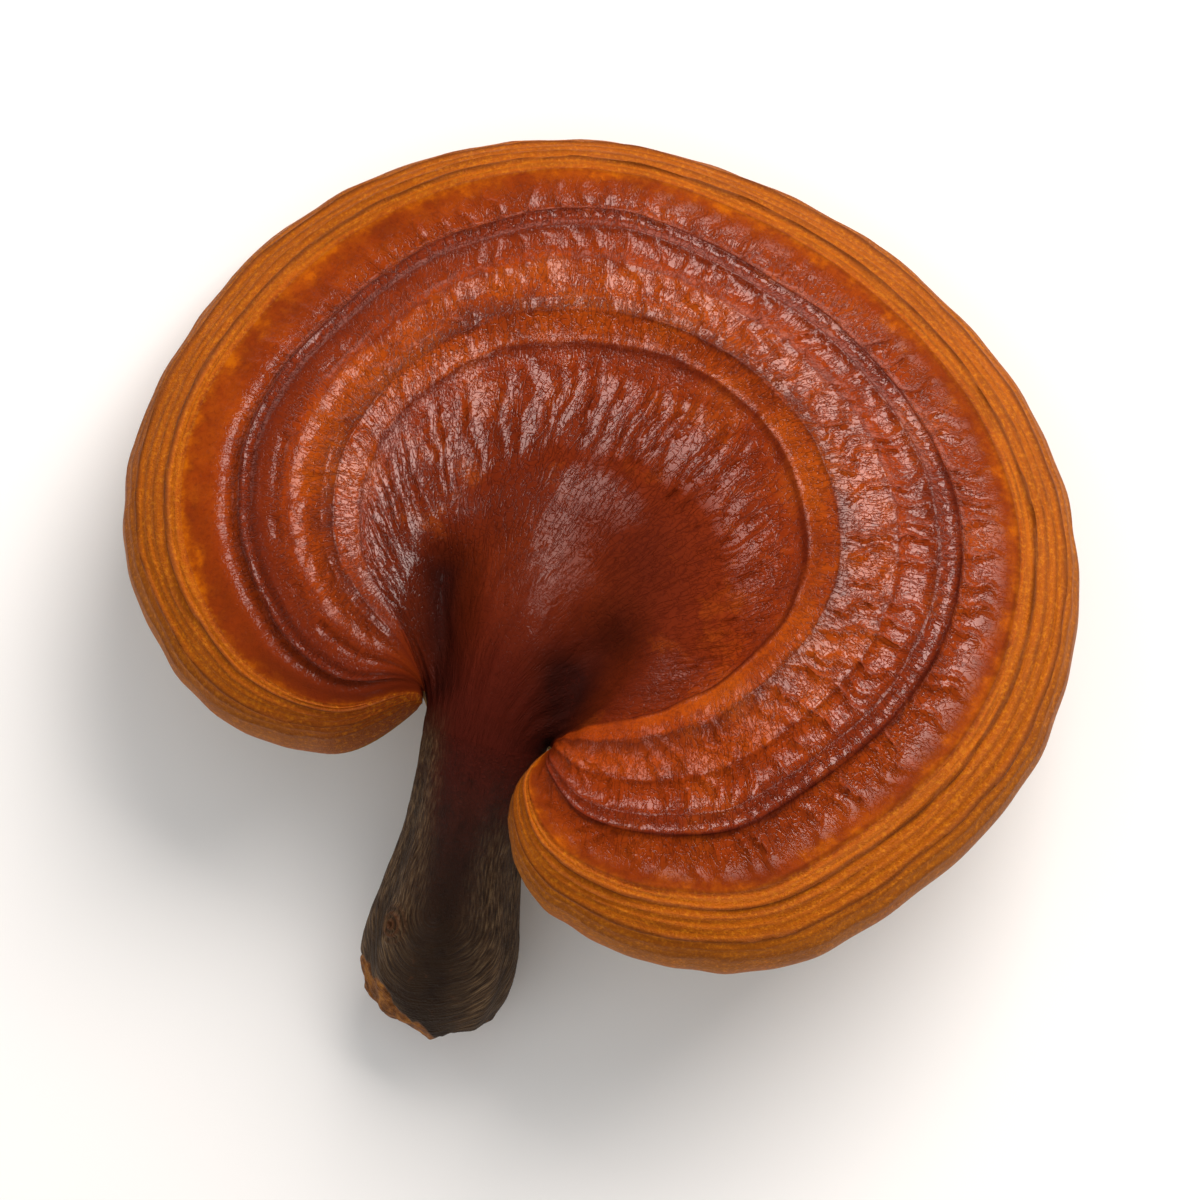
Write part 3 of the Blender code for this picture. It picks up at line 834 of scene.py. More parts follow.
    def upper(self) -> tuple[Array, Places, dict[str, Array]]:
        """Makes the upper face's points, with all its relief.

        Returns:
            The points, where they are, and vectors for the finishes by name.
        """
        at = DRAWING.places(self.insets(), self.columns)
        inset, t, along = at.inset, at.t, at.along
        grid = DRAWING.shaped(at)
        out = unit(np.cross(np.gradient(grid, axis=1), np.gradient(grid, axis=0)) + 1e-12)
        ends = smooth(0, 1, t) * smooth(0, 1.2, DRAWING.last - t)
        edge = smooth(0, self.bare_edge, inset)
        crust = smooth(*self.crusted, inset)
        drift = inset
        for margin, inside, run, depth, seed in self.straying:
            drift = drift + (margin + (inside - margin) * crust) * waves(along / run, inset / depth, seed)
        strayed = Places(drift, t, along)
        height = sum(ring.relief(strayed) for ring in self.rings)
        cut = sum(ring.relief(strayed) for ring in self.rings if ring.height < 0 and ring.half < 1)
        height = height + cut * 0.7 * waves(along / 9, inset / 1.6, 34)
        lump, pitch = DRAWING.lumps
        lumpy = smooth(*self.lumps_begin, inset) * smooth(*self.lumps_end, inset)
        height = height + lump * ripple(t, pitch, 5) * lumpy

        # The margin's threads lie in fine ridges, with small pebbles between
        brim = smooth(*self.brim, inset) * edge
        ridges = waves(inset / 0.75, along / 26, 41) + 0.6 * waves(inset / 0.45, along / 14, 43)
        pebbles = waves(inset / 1.3, along / 2.2, 45)
        fine = sum(band.relief(strayed) for band in self.bands) + self.wrinkles(grid, at)
        fine = fine + brim * (self.ridge_height * ridges + self.pebble_height * pebbles)
        relief = (height + fine) * ends * edge
        grid = grid + relief[..., None] * out

        # Resin is thin in creases and where the crust is dulled, and thick where it is polished
        resin = at.by_side(self.gloss) * smooth(*self.resin_thins, fine + cut)
        resin = resin * (1 - np.clip(spread(grid, DRAWING.dulled), 0, 1))
        # Painted shade in the hollows beside the neck, where polish also stays off
        pit = np.clip(spread(grid, DRAWING.shade_strokes), 0, 1) * smooth(*self.neck_shaded, inset)
        shine = np.clip(spread(grid, DRAWING.polished), 0, 1) * smooth(*self.shiny, inset)
        resin = np.maximum(resin, shine * smooth(0.4, 0.1, pit))
        foot = np.where(t < SIDES[1], SIDES[1] * smooth(0.5, SIDES[1], t), t)
        warm = Places(inset, foot, along).by_side(self.warmth)
        skin = np.stack([fine + cut, at.by_side(self.wrinkling) * ends, resin], axis=-1)
        return grid, at, self.marks(at, Side.UPPER, skin, warm, pit)

    def marks(self, at: Places, side: Side, skin: Array, warm: Array, pit: Array) -> dict[str, Array]:
        """Gives what the finishes read at the cap's points.

        Args:
            at: Where the points are.
            side: Which face of the cap.
            skin: Fine relief, share of wrinkles and share of resin.
            warm: Share of orange.
            pit: Share of painted shade in the hollows beside the neck.

        Returns:
            The vectors by name.
        """
        angle = DRAWING.neck_angle(at.t, side)
        down = at.inset - DRAWING.neck_inset
        across, aside = DRAWING.fibre(angle, down)
        return {
            "growth": at.marks(),
            "skin": skin,
            "fibre": np.stack([across, down, aside], axis=-1),
            "tint": np.stack([warm, pit, DRAWING.flank(angle, down)], axis=-1),
        }

    def lower(self) -> tuple[Array, Places, dict[str, Array]]:
        """Makes the lower face's points.

        Returns:
            The points, where they are, and vectors for the finishes by name.
        """
        turn = np.linspace(0, math.pi / 2, self.under_turns + 1)
        width = DRAWING.roll_under[0]
        rows = np.concatenate([
            width * (1 - np.cos(turn)),
            np.arange(width + self.under_step, DRAWING.inner_inset, self.under_step),
            np.linspace(DRAWING.inner_inset, DRAWING.neck_inset, self.under_rows + 1),
        ])
        at = DRAWING.places(rows, self.columns)
        none = np.zeros(at.inset.shape)
        skin = np.stack([none, none, none], axis=-1)
        return DRAWING.face(at, Side.LOWER), at, self.marks(at, Side.LOWER, skin, none, none)

    def gather(self, grids: list[Array], rows: Array, table: Table) -> None:
        """Gathers a face's columns in groups, where they crowd together.

        Args:
            grids: The face's points and the vectors at them, which are changed.
            rows: Inset of each row.
            table: From which inset to which, and how many columns become one.
        """
        for start, end, group in table:
            keep = np.arange(self.columns + 1)
            keep[:-1] -= keep[:-1] % group
            inside = (rows >= start) & (rows < end)
            for grid in grids:
                grid[inside] = grid[inside][:, keep]

    def build(self) -> Piece:
        """Builds the cap's closed mesh.

        Returns:
            The cap, on the floor.
        """
        over, over_at, over_marks = self.upper()
        under, under_at, under_marks = self.lower()
        over_rows, under_rows = over_at.inset[:, 0], under_at.inset[:, 0]
        under[0] = over[0]
        for side in (0, -1):
            nearest = np.abs(over_rows[:, None] - under_rows[None, :]).argmin(axis=1)
            over[:, side] = under[nearest, side]
        self.gather([over, *over_marks.values()], over_rows, self.thinned_over)
        self.gather([under, *under_marks.values()], under_rows, self.thinned_under)
        finishes = (LacqueredCrust().make(), VelvetMargin().make(), PoreSurface().make())
        top = woven("cap_crust", over, over_marks)
        self.wear(top, finishes, self.crust_from, (1, 0))
        below = woven("cap_pores", under, under_marks)
        self.wear(below, finishes, self.pores_from, (1, 2))
        bpy.ops.object.select_all(action="DESELECT")
        below.select_set(True)
        top.select_set(True)
        bpy.context.view_layer.objects.active = top
        bpy.ops.object.join()
        close_and_place(top)
        return top

    def wear(
        self, piece: Piece, finishes: tuple[Material, ...], inset: float, slots: tuple[int, int]
    ) -> None:
        """Gives a face of the cap its finishes.

        Args:
            piece: The face.
            finishes: All of the cap's finishes, one slot each.
            inset: Where the second finish takes over from the first.
            slots: Slots of the two.
        """
        mesh = piece.data
        for finish in finishes:
            mesh.materials.append(finish)
        growth = np.empty(len(mesh.vertices) * 3, np.float32)
        mesh.attributes["growth"].data.foreach_get("vector", growth)
        corners = np.empty(len(mesh.loops), np.int32)
        mesh.loops.foreach_get("vertex_index", corners)
        depth = growth.reshape(-1, 3)[corners, 1].reshape(-1, 4).mean(axis=1)
        mesh.polygons.foreach_set("material_index", np.where(depth < inset, *slots).astype(np.int32))


@dataclass(frozen=True)
class Stem:
    """The stem: near-black, fibrous bark from the neck down to a torn end.

    Coarse holds height, pitch, twist and seed of each coarse wave round the stem. The torn edge goes by
    the angle round the stem in degrees, and the torn hollow by the share of the end's radius.
    """

    columns: int = 330
    rows: int = 230
    end_rows: int = 12
    coarse: Table = ((0.35, 7.85, 0, 11), (0.3, 15.7, 8, 13))
    coarse_round: float = 10.0
    knot_at: float = 0.72
    knot_angle: float = math.radians(126)
    knot_size: float = 2.2
    knot_rise: float = 0.8
    knot_ring: float = 0.95
    knot_ring_height: float = 0.4
    knot_hole_depth: float = 0.8
    knot_hole_size: float = 0.5
    cord_pitch: float = 1.8
    thread_pitch: float = 0.8
    fibre_height: float = 0.16
    torn_drop: float = 0.35
    torn_lump: float = 0.4
    torn_depth: float = 1.0
    torn_pitch: float = 12.0
    torn_edge: Table = (
        (0, 0.975), (60, 0.975), (90, 0.95), (115, 0.90), (140, 0.872), (170, 0.865), (200, 0.87),
        (270, 0.93), (360, 0.975),
    )
    torn_hollow: Table = ((0, 2), (0.4, 1.6), (0.72, 0.6), (1, 0))

    def bark(self, share: Array, angle: Array) -> tuple[Array, Array, Array]:
        """Gives the relief of the bark.

        Args:
            share: Share of the stem's length, from the neck.
            angle: Angle round it.

        Returns:
            The bark's height, how near a point is to the knot's middle, and how far the bark is torn away.
        """
        down = share * DRAWING.stem_length
        across, aside = DRAWING.fibre(angle, down)
        height = np.zeros(share.shape)
        for rise, pitch, twist, seed in self.coarse:
            round_it = angle * self.coarse_round + twist * share
            height = height + smooth(0, 0.25, share) * rise * ripple(round_it, pitch, seed)

        # The knot is a low mound with rings and a hole in its middle
        sideways = DRAWING.stem_radius * (angle - self.knot_angle)
        away = np.hypot((share - self.knot_at) * DRAWING.stem_length, sideways)
        knot = np.exp(-(away / self.knot_size) ** 2)
        rings = np.cos(FULL_TURN * away / self.knot_ring)
        height = height + knot * (self.knot_rise - self.knot_ring_height * rings)
        height = height - self.knot_hole_depth * np.exp(-(away / self.knot_hole_size) ** 2)
        knot = knot * (0.55 - 0.45 * rings)

        cords = creased(across / self.cord_pitch, aside / 9 + down / 11, 61) - 0.4
        threads = creased(across / self.thread_pitch, aside / 4 + down / 5, 63) - 0.4
        covered = np.clip(0.08 + DRAWING.flank(angle, down) + 0.06 * smooth(30, 40, down), 0, 1)
        height = height + self.fibre_height * (cords + threads) * covered * smooth(-0.02, 0.12, share)
        ragged = share + 0.02 * waves(aside / 2.6, down / 9, 71) + 0.01 * waves(aside, down / 3, 73)
        torn = smooth(0, 0.014, ragged - np.interp(np.degrees(angle), *np.transpose(self.torn_edge)))
        lump = waves(aside / 2.4, down / 2.4, 75) + 0.5 * waves(aside / 1.1, down / 1.1, 77)
        return height - torn * (self.torn_drop - self.torn_lump * lump), knot, torn

    def build(self) -> Piece:
        """Builds the stem's closed mesh.

        Returns:
            The stem, on the floor.
        """
        lengths, angles = np.linspace(0, 1, self.rows + 1), np.linspace(0, FULL_TURN, self.columns + 1)
        share, angle = np.meshgrid(lengths, angles, indexing="ij")
        bark, knot, torn = self.bark(share, angle)
        grid = DRAWING.stem_skin(share, angle, bark)
        along = unit(grid[-1].mean(axis=0) - grid[-2].mean(axis=0))
        ragged = self.torn_depth * ripple(angle * self.coarse_round, self.torn_pitch, 17)
        grid = grid + (ragged * smooth(0.93, 1, share))[..., None] * along

        # The torn end is hollowed towards its middle
        inward = np.linspace(1, 0, self.end_rows + 1)[1:]
        middle = grid[-1].mean(axis=0)
        hollow = np.interp(inward, *np.transpose(self.torn_hollow))
        x, y = inward[:, None] * np.cos(angle[0]), inward[:, None] * np.sin(angle[0])
        hollow = hollow[:, None] + 0.5 * waves(4 * x, 4 * y, 79) * smooth(1, 0.85, inward)[:, None]
        end = middle + (grid[-1] - middle) * inward[:, None, None] - along * hollow[..., None]
        grid = np.concatenate([grid, end])

        down = share * DRAWING.stem_length
        across, aside = DRAWING.fibre(angle, down)
        marks = {
            "fibre": np.stack([across, down, aside], axis=-1),
            "tint": np.stack([torn, knot, DRAWING.flank(angle, down)], axis=-1),
            "skin": np.stack([bark, bark, bark], axis=-1),
        }
        last = {key: np.repeat(value[-1:], self.end_rows, axis=0) for key, value in marks.items()}
        last["tint"][..., 0] = 1
        marks = {key: np.concatenate([value, last[key]]) for key, value in marks.items()}
        for layer in (grid, *marks.values()):
            layer[:, -1] = layer[:, 0]
        piece = woven("stem_bark", grid, marks)
        piece.data.materials.append(StemBark().make())
        close_and_place(piece)
        return piece


@dataclass(frozen=True)
class SoftBox:
    """A rectangular soft light that faces the mushroom, its azimuth 0 beyond it and 90 to its right."""

    name: str
    azimuth: float
    elevation: float
    width: float
    height: float
    radiance: float
    mirrored: bool
    colour: str = "#FFFFFF"
    distance: float = 1.0
    aim: tuple[float, float, float] = (0, 0, 0.03)

    def hang(self) -> None:
        """Adds the light to the scene."""
        data = bpy.data.lights.new(self.name, "AREA")
        data.shape = "RECTANGLE"
        data.size, data.size_y = self.width, self.height
        data.energy = self.radiance * math.pi * self.width * self.height
        data.color = linear(self.colour)[:3]
        made = bpy.data.objects.new(self.name, data)
        bpy.context.scene.collection.objects.link(made)
        a, e = math.radians(self.azimuth), math.radians(self.elevation)
        away = Vector((math.sin(a) * math.cos(e), math.cos(a) * math.cos(e), math.sin(e)))
        made.location = Vector(self.aim) + away * self.distance
        made.rotation_euler = away.to_track_quat("Z", "Y").to_euler()
        made.visible_glossy = self.mirrored


@dataclass(frozen=True)
class Studio:
    """Pale floor, soft lights and the camera at the photograph's viewing angle."""

    distance: float = 708.0
    tilt: float = math.radians(24)
    frame_width: float = 1200 * 150 / 953
    sensor: float = 36.0
    floor_size: float = 8.0
    surround: str = "#F2F2F2"
    surround_strength: float = 0.42
    soft_boxes: tuple[SoftBox, ...] = (
        SoftBox("key_soft_box", 35, 44, 0.8, 0.66, 7.2, True, "#FFF6F0"),
        SoftBox("fill_soft_box", 10, 62, 1.8, 1.2, 0.3, False),
        SoftBox("low_fill_soft_box", 215, 40, 1.6, 1.2, 0.6, False),
    )

    def camera(self) -> None:
        """Places the camera, which looks at the middle of the cap's own frame."""
        data = bpy.data.cameras.new("camera")
        made = bpy.data.objects.new("camera", data)
        bpy.context.scene.collection.objects.link(made)
        data.sensor_width = self.sensor
        data.lens = self.sensor * self.distance / self.frame_width
        rest = DRAWING.rest()
        back = Vector((0, -math.sin(self.tilt), math.cos(self.tilt)))
        up = Vector((0, math.cos(self.tilt), math.sin(self.tilt)))
        turn = Matrix((Vector((1, 0, 0)), up, back)).transposed().to_4x4()
        turn = rest.to_quaternion().to_matrix().to_4x4() @ turn
        made.matrix_world = Matrix.Translation(rest @ (back * self.distance)) @ turn
        bpy.context.scene.camera = made

    def build(self) -> None:
        """Builds the floor, the lights, the surroundings and the camera."""
        bpy.ops.object.select_all(action="DESELECT")
        bpy.ops.mesh.primitive_plane_add(size=self.floor_size)
        floor = bpy.context.active_object
        floor.name = "floor"
        floor.data.materials.append(PaleFloor().make())
        for box in self.soft_boxes:
            box.hang()
        world = bpy.data.worlds.new("studio")
        world.use_nodes = True
        light = {"Color": self.surround, "Strength": self.surround_strength}
        fill(world.node_tree, world.node_tree.nodes["Background"], light)
        world.cycles_visibility.glossy = False
        bpy.context.scene.world = world
        bpy.context.scene.view_settings.view_transform = "Standard"
        self.camera()


class Finish:
    """A material in the making: its node tree and the places that its patterns read."""

    swell: float = 0.2  # Noise seldom strays further from its middle

    def __init__(self, name: str) -> None:
        """Starts the material.

        Args:
            name: Its name.
        """
        self.material = bpy.data.materials.new(name)
        self.material.use_nodes = True
        self.tree = self.material.node_tree

    def add(self, kind: str, *inputs: object, **named: object) -> Socket:
        """Adds a node as node() does, and gives its first output."""
        return node(self.tree, kind, *inputs, **named).outputs[0]

    def place(self) -> Socket:
        """Gives the place on the piece, in metres."""
        return node(self.tree, "TexCoord").outputs["Object"]

    def grown(self, attribute: str) -> tuple[Socket, list[Socket]]:
        """Gives an attribute of the mesh as a vector and as its three parts."""
        vector = node(self.tree, "Attribute", attribute_name=attribute).outputs["Vector"]
        return vector, list(node(self.tree, "SeparateXYZ", vector).outputs)

    def swells(self, vector: Socket, scale: float, **inputs: float) -> Socket:
        """Adds rounded swells that meet in sharp creases.

        Args:
            vector: Where the pattern is read.
            scale: Swells to each unit of that.
            inputs: Further inputs of the noise, by name.

        Returns:
            The socket of a pattern that is 0 in the creases and seldom over swell.
        """
        noise = self.add("TexNoise", Vector=vector, Scale=scale, **inputs)
        off = self.add("Math", noise, 0.5, operation="SUBTRACT")
        return self.add("Math", off, operation="ABSOLUTE")

    def raised(self, vector: Socket, scale: float, height: float, **inputs: float) -> Socket:
        """Adds rounded swells, about as high as height says in millimetres."""
        swells = self.swells(vector, scale, **inputs)
        return self.add("Math", swells, height / self.swell, operation="MULTIPLY")

    def cracks(self, swells: Socket, depth: float) -> Socket:
        """Levels swells to flat places parted by narrow, wandering grooves, in millimetres."""
        return self.add("MapRange", swells, 0, 0.048, 0, depth, interpolation_type="SMOOTHSTEP")

    def product(self, share: Socket, *others: Socket) -> Socket:
        """Multiplies patterns.

        Args:
            share: The first.
            others: The others.

        Returns:
            The socket of how much of each point all of them cover.
        """
        for other in others:
            share = self.add("Math", share, other, operation="MULTIPLY")
        return share

    def over(self, colour: object, *coats: tuple[object, object]) -> Socket:
        """Lays coats of colour over a colour.

        Args:
            colour: The colour below, a socket or an sRGB hex colour.
            coats: For each coat the share of each point that it covers, and its colour.

        Returns:
            The colour's socket.
        """
        # A Mix node's colours are its inputs 6 and 7 and its output 2
        for share, coat in coats:
            colour = node(self.tree, "Mix", share, *[None] * 5, colour, coat, data_type="RGBA").outputs[2]
        return colour

    def done(self, values: dict[str, object], height: Socket | None = None) -> Material:
        """Finishes the material.

        Args:
            values: What fills the shader's inputs, by their names.
            height: Height of its relief, in millimetres.

        Returns:
            The material.
        """
        if height is not None:
            bump = self.add("Bump", Height=height, Distance=MM, Strength=1)
            values = {**values, "Normal": bump, "Coat Normal": bump}
        fill(self.tree, self.tree.nodes["Principled BSDF"], values)
        return self.material


@dataclass(frozen=True)
class PaleFloor:
    """Matt white studio sheet."""

    colour: str = "#F4F3F1"
    roughness: float = 0.8
    specular: float = 0.2

    def make(self) -> Material:
        """Makes the material.

        Returns:
            The material.
        """
        return Finish("matt_studio_sheet").done({
            "Base Color": self.colour, "Roughness": self.roughness, "Specular IOR Level": self.specular,
        })


@dataclass(frozen=True)
class CrustColours:
    """Colours of the crust by distance in from the margin, in millimetres, and of what mottles it.

    A range is of insets from where something begins to where it is in full, and sizes are of patches.
    """

    span: float = 90.0
    ragged: float = 3.0
    ragged_size: float = 3.2
    stir_size: float = 6.0
    cloud_size: float = 9.0
    grain_size: float = 0.7
    line_size: Range = (11, 0.42)
    stirred: Range = (7.5, 10.5)
    ragged_begins: Range = (8.8, 10.2)
    ragged_ends: Range = (16.5, 12)
    margin: Range = (10.5, 9.3)
    mottled: Range = (9, 11)
    plain: Range = (66, 82)
    stops: Stops = (
        (0, "#985610"), (3, "#AA5605"), (7.3, "#AA5404"), (8.5, "#B65C04"), (9.6, "#AC5004"),
        (10.7, "#944006"), (12.4, "#853307"), (16.5, "#903406"), (18.2, "#903406"), (18.75, "#5A1E0C"),
        (19.4, "#802C0E"), (21.5, "#802C0E"), (22.1, "#70250A"), (23.5, "#903308"), (27.3, "#983706"),
        (28, "#802C08"), (28.7, "#9A3A06"), (29.5, "#A03E06"), (33, "#9C3B06"), (36.3, "#682408"),
        (36.9, "#963706"), (40.8, "#9B3C06"), (41.5, "#742606"), (43, "#8B2F07"), (50, "#762708"),
        (56, "#682108"), (60, "#621F09"), (66, "#6C250A"), (72, "#62200B"), (79, "#52190D"),
        (86.5, "#45160E"),
    )
    ember: str = "#B2500A"
    dusk: str = "#5E1E0B"
    # Painted shade: colour of the creases, grooves and cracks
    hollow: str = "#430F06"
    # Painted shade: colour of the hollows beside the neck
    neck_shade_colour: str = "#2A0D08"
    margin_shade: str = "#8C480C"
    # Painted shade: colour of the margin's grooves
    margin_groove_shade: str = "#66300A"
    margin_foot: str = "#782408"
    margin_sheen: str = "#C87410"

    def paint(self, finish: Finish) -> Socket:
        """Adds the crust's colour.

        Args:
            finish: The finish that wears it.

        Returns:
            The colour's socket.
        """
        growth, (_, inset, t) = finish.grown("growth")
        _, (fine, _, _) = finish.grown("skin")
        _, (warm, pit, flank) = finish.grown("tint")
        place = finish.place()

        # The rings' colours stray a little, and most where the orange margin runs into the red crust
        stray = finish.add("MapRange", inset, *self.stirred, 0.3, 1.6)
        stir = finish.add("TexNoise", Vector=place, Scale=per(self.stir_size), Detail=3)
        stir = finish.add("MapRange", stir, 0.3, 0.7, -0.5, 0.5)
        drift = finish.add("Math", stir, stray, inset, operation="MULTIPLY_ADD")
        begins = finish.add("MapRange", inset, *self.ragged_begins, 0, 1)
        ends = finish.add("MapRange", inset, *self.ragged_ends, 0, 1)
        ragged = finish.add("TexNoise", Vector=place, Scale=per(self.ragged_size), Detail=4, Roughness=0.6)
        ragged = finish.add("MapRange", ragged, 0.3, 0.7, -0.7 * self.ragged, self.ragged)
        drift = finish.add("Math", ragged, finish.product(begins, ends), drift, operation="MULTIPLY_ADD")
        drift = finish.add("Math", drift, self.span, operation="DIVIDE")
        stops = tuple((at / self.span, colour) for at, colour in self.stops)
        colour = finish.add("ValToRGB", Fac=drift, stops=stops)

        # Fine growth lines and threads of the margin
        margin = finish.add("MapRange", inset, *self.margin, 0, 1)
        scale = (1 / self.line_size[0], 1 / self.line_size[1], 0)
        lie = finish.add("Mapping", Vector=growth, Scale=scale)
        lines = finish.add("TexNoise", Vector=lie, Scale=1, Detail=3, Distortion=0.5)
        lines = finish.add("MapRange", lines, 0.36, 0.52, 0.6, 0)
        foot = finish.add("MapRange", t, 1.6, 0.2, 0, 0.6)
        grain = finish.add("TexNoise", Vector=place, Scale=per(self.grain_size), Detail=3, Roughness=0.7)
        bright = finish.add("MapRange", grain, 0.5, 0.68, 0, 0.8)
        coats = ((lines, self.margin_shade), (foot, self.margin_foot), (bright, self.margin_sheen))
        colour = finish.over(colour, *((finish.product(share, margin), coat) for share, coat in coats))

        # Mottling of the lacquer
        cloud = finish.add("TexNoise", Vector=place, Scale=per(self.cloud_size), Detail=5, Roughness=0.65)
        bright = finish.add("MapRange", cloud, 0.35, 0.65, -0.35, 0.35)
        bright = finish.add("Math", warm, bright, operation="ADD", use_clamp=True)
        dark = finish.add("MapRange", cloud, 0.5, 0.32, 0, 0.5)
        deep = finish.add("MapRange", warm, -0.15, -1, 0, 0.9)
        dark = finish.add("Math", dark, deep, operation="MAXIMUM")
        speck = finish.add("MapRange", grain, 0.5, 0.3, 0, 0.4)
        crust = finish.add("MapRange", inset, *self.mottled, 0.3, 1)
        crust = finish.product(crust, finish.add("MapRange", inset, *self.plain, 1, 0))
        coats = ((bright, self.ember), (dark, self.dusk), (speck, self.dusk))
        colour = finish.over(colour, *((finish.product(share, crust), coat) for share, coat in coats))

        # Painted shade in creases, grooves and the hollows beside the neck, and the stem's outer bark
        # Painted shade where the relief is low
        low = finish.add("MapRange", fine, -0.02, -0.38, 0, 0.8)
        shade = finish.over(self.hollow, (margin, self.margin_groove_shade))
        return StemColours().flanks(finish, finish.over(colour, (low, shade), (pit, self.neck_shade_colour)), flank)


@dataclass(frozen=True)
class StemColours:
    """Colours of the stem by distance below the neck, in millimetres, and of its outer bark."""

    above: float = 16.0
    span: float = 66.0
    stops: Stops = (
        (-16, "#4E1A10"), (0, "#45160E"), (8, "#42170F"), (15, "#3A1911"), (23, "#311B13"), (34, "#2F1F12"),
        (50, "#302112"),
    )
    outer: str = "#503A26"
    # Pale threads: partly the fibres' own lighter tone, partly painted highlight on them
    pale: str = "#8C7050"
    # Near-black of the darker threads and of the painted shade in the bark's low places
    furrow: str = "#1A110B"
    thread: float = 0.3
    thread_length: float = 2.3
    cloud_size: float = 5.0

    def lie(self, finish: Finish) -> Socket:
        """Adds places that run out one unit across a thread of the bark and one along it."""
        fibre, _ = finish.grown("fibre")
        return finish.add("Mapping", Vector=fibre, Scale=(1 / self.thread, 1 / self.thread_length, 0))

    def flanks(self, finish: Finish, colour: Socket, flank: Socket) -> Socket:
        """Adds the olive-grey, fibrous outer bark of the flanks.

        Args:
            finish: The finish that wears it.
            colour: The colour below it.
            flank: How much of each point it covers.

        Returns:
            The colour's socket.
        """
        # Lighter threads are partly painted highlight on the fibres, darker ones partly painted shade
        # between them
        threads = finish.add("TexNoise", Vector=self.lie(finish), Scale=1, Detail=3, Roughness=0.6)
        light = finish.add("MapRange", threads, 0.5, 0.68, 0, 0.8)
        dark = finish.add("MapRange", threads, 0.5, 0.36, 0, 0.75)
        bark = finish.over(self.outer, (light, self.pale), (dark, self.furrow))
        cloud = finish.add("TexNoise", Vector=finish.place(), Scale=per(self.cloud_size), Detail=3)
        cloud = finish.add("MapRange", cloud, 0.35, 0.6, 0.55, 1)
        return finish.over(colour, (finish.product(flank, cloud), bark))

    def relief(self, finish: Finish, height: float) -> Socket:
        """Adds the relief of the bark's finest threads, about as high as height says in millimetres."""
        return finish.raised(self.lie(finish), 1, height, Detail=1.5, Distortion=0.3)


@dataclass(frozen=True)
class LacqueredCrust:
    """Laccate crust, dry: a resinous skin like old varnish, shrunk into fine wrinkles over corky flesh."""

    wrinkle_width: float = 1.0
    wrinkle_length: float = 3.0
    wrinkle_height: float = 0.075
    crackle_width: float = 1.1
    crackle_height: float = 0.05
    fold_width: float = 0.9
    fold_length: float = 4.0
    fold_height: float = 0.08
    grain: float = 0.45
    grain_height: float = 0.04
    fibre_height: float = 0.08
    roughness: float = 0.7
    specular: float = 0.03
    resin_roughness: float = 0.12
    resin_ior: float = 1.5
    folded: Range = (54, 62)
    unwrinkled: Range = (64, 76)
    fibrous: Range = (64, 80)

    def make(self) -> Material:
        """Makes the material.

        Returns:
            The material.
        """
        finish = Finish("laccate_mushroom_crust")
        growth, (_, inset, _) = finish.grown("growth")
        _, (_, wrinkled, resin) = finish.grown("skin")
        fibre, _ = finish.grown("fibre")
        place = finish.place()

        # Wrinkles across the growth lines, wider inside the inner groove
        wrinkles = []
        for share in (1, 0.45):
            scale = (share / self.wrinkle_width, 1 / self.wrinkle_length, 0)
            lie = finish.add("Mapping", Vector=growth, Scale=scale)
            swells = finish.swells(lie, 1, Detail=1.5, Distortion=0.7)
            wrinkles.append(finish.cracks(swells, self.wrinkle_height))
        inward = finish.add("MapRange", inset, *Cap.inward, 0, 1)
        wrinkles = finish.add("Mix", inward, None, *wrinkles)
        outside = finish.add("MapRange", inset, *self.unwrinkled, 1, 0)

        # Crackle and grain everywhere, folds in the middle and the stem's threads at the neck
        crackle = finish.swells(place, per(self.crackle_width), Detail=1, Distortion=0.8)
        crackle = finish.cracks(crackle, self.crackle_height)
        skin = finish.add("MapRange", wrinkled, 0, 1, 0.2, 1)
        raised = finish.product(wrinkles, outside, wrinkled)
        height = finish.add("Math", raised, finish.product(crackle, skin), operation="ADD")
        grain = finish.add("TexNoise", Vector=place, Scale=per(self.grain), Detail=1)
        grain = finish.add("Math", grain, self.grain_height, operation="MULTIPLY")
        height = finish.add("Math", height, grain, operation="ADD")
        lie = finish.add("Mapping", Vector=fibre, Scale=(1 / self.fold_width, 1 / self.fold_length, 0))
        folds = finish.raised(lie, 1, self.fold_height, Detail=1.5, Distortion=0.6)
        near = finish.add("MapRange", inset, *self.folded, 0, 1)
        height = finish.add("Math", folds, near, height, operation="MULTIPLY_ADD")
        near = finish.add("MapRange", inset, *self.fibrous, 0, 1)
        fibres = finish.product(StemColours().relief(finish, self.fibre_height), near)
        height = finish.add("Math", height, fibres, operation="ADD")

        # Painted shade: cracks and wrinkles are darkened by their depth
        crack_shade = finish.add("MapRange", crackle, 0.9 * self.crackle_height, 0, 0, 0.5)
        valley_shade = finish.add("MapRange", wrinkles, 0.9 * self.wrinkle_height, 0, 0, 0.5)
        valley_shade = finish.product(valley_shade, outside)
        furrow = finish.product(finish.add("Math", crack_shade, valley_shade, operation="MAXIMUM"), wrinkled)
        colour = finish.over(CrustColours().paint(finish), (furrow, CrustColours.hollow))
        return finish.done({
            "Base Color": colour, "Roughness": self.roughness, "Specular IOR Level": self.specular,
            "Coat Weight": resin, "Coat Roughness": self.resin_roughness, "Coat IOR": self.resin_ior,
        }, height)


@dataclass(frozen=True)
class VelvetMargin:
    """Growing margin, dry: no resin yet, a matt velvet of fungal threads laid down in fine ridges."""

    grain: float = 0.5
    grain_height: float = 0.07
    roughness: float = 0.5
    specular: float = 0.09
    sheen: float = 0.01

    def make(self) -> Material:
        """Makes the material.

        Returns:
            The material.
        """
        finish = Finish("velvet_mushroom_margin")
        height = finish.raised(finish.place(), per(self.grain), self.grain_height, Detail=2)
        return finish.done({
            "Base Color": CrustColours().paint(finish), "Roughness": self.roughness,
            "Specular IOR Level": self.specular, "Sheen Weight": self.sheen,
        }, height)


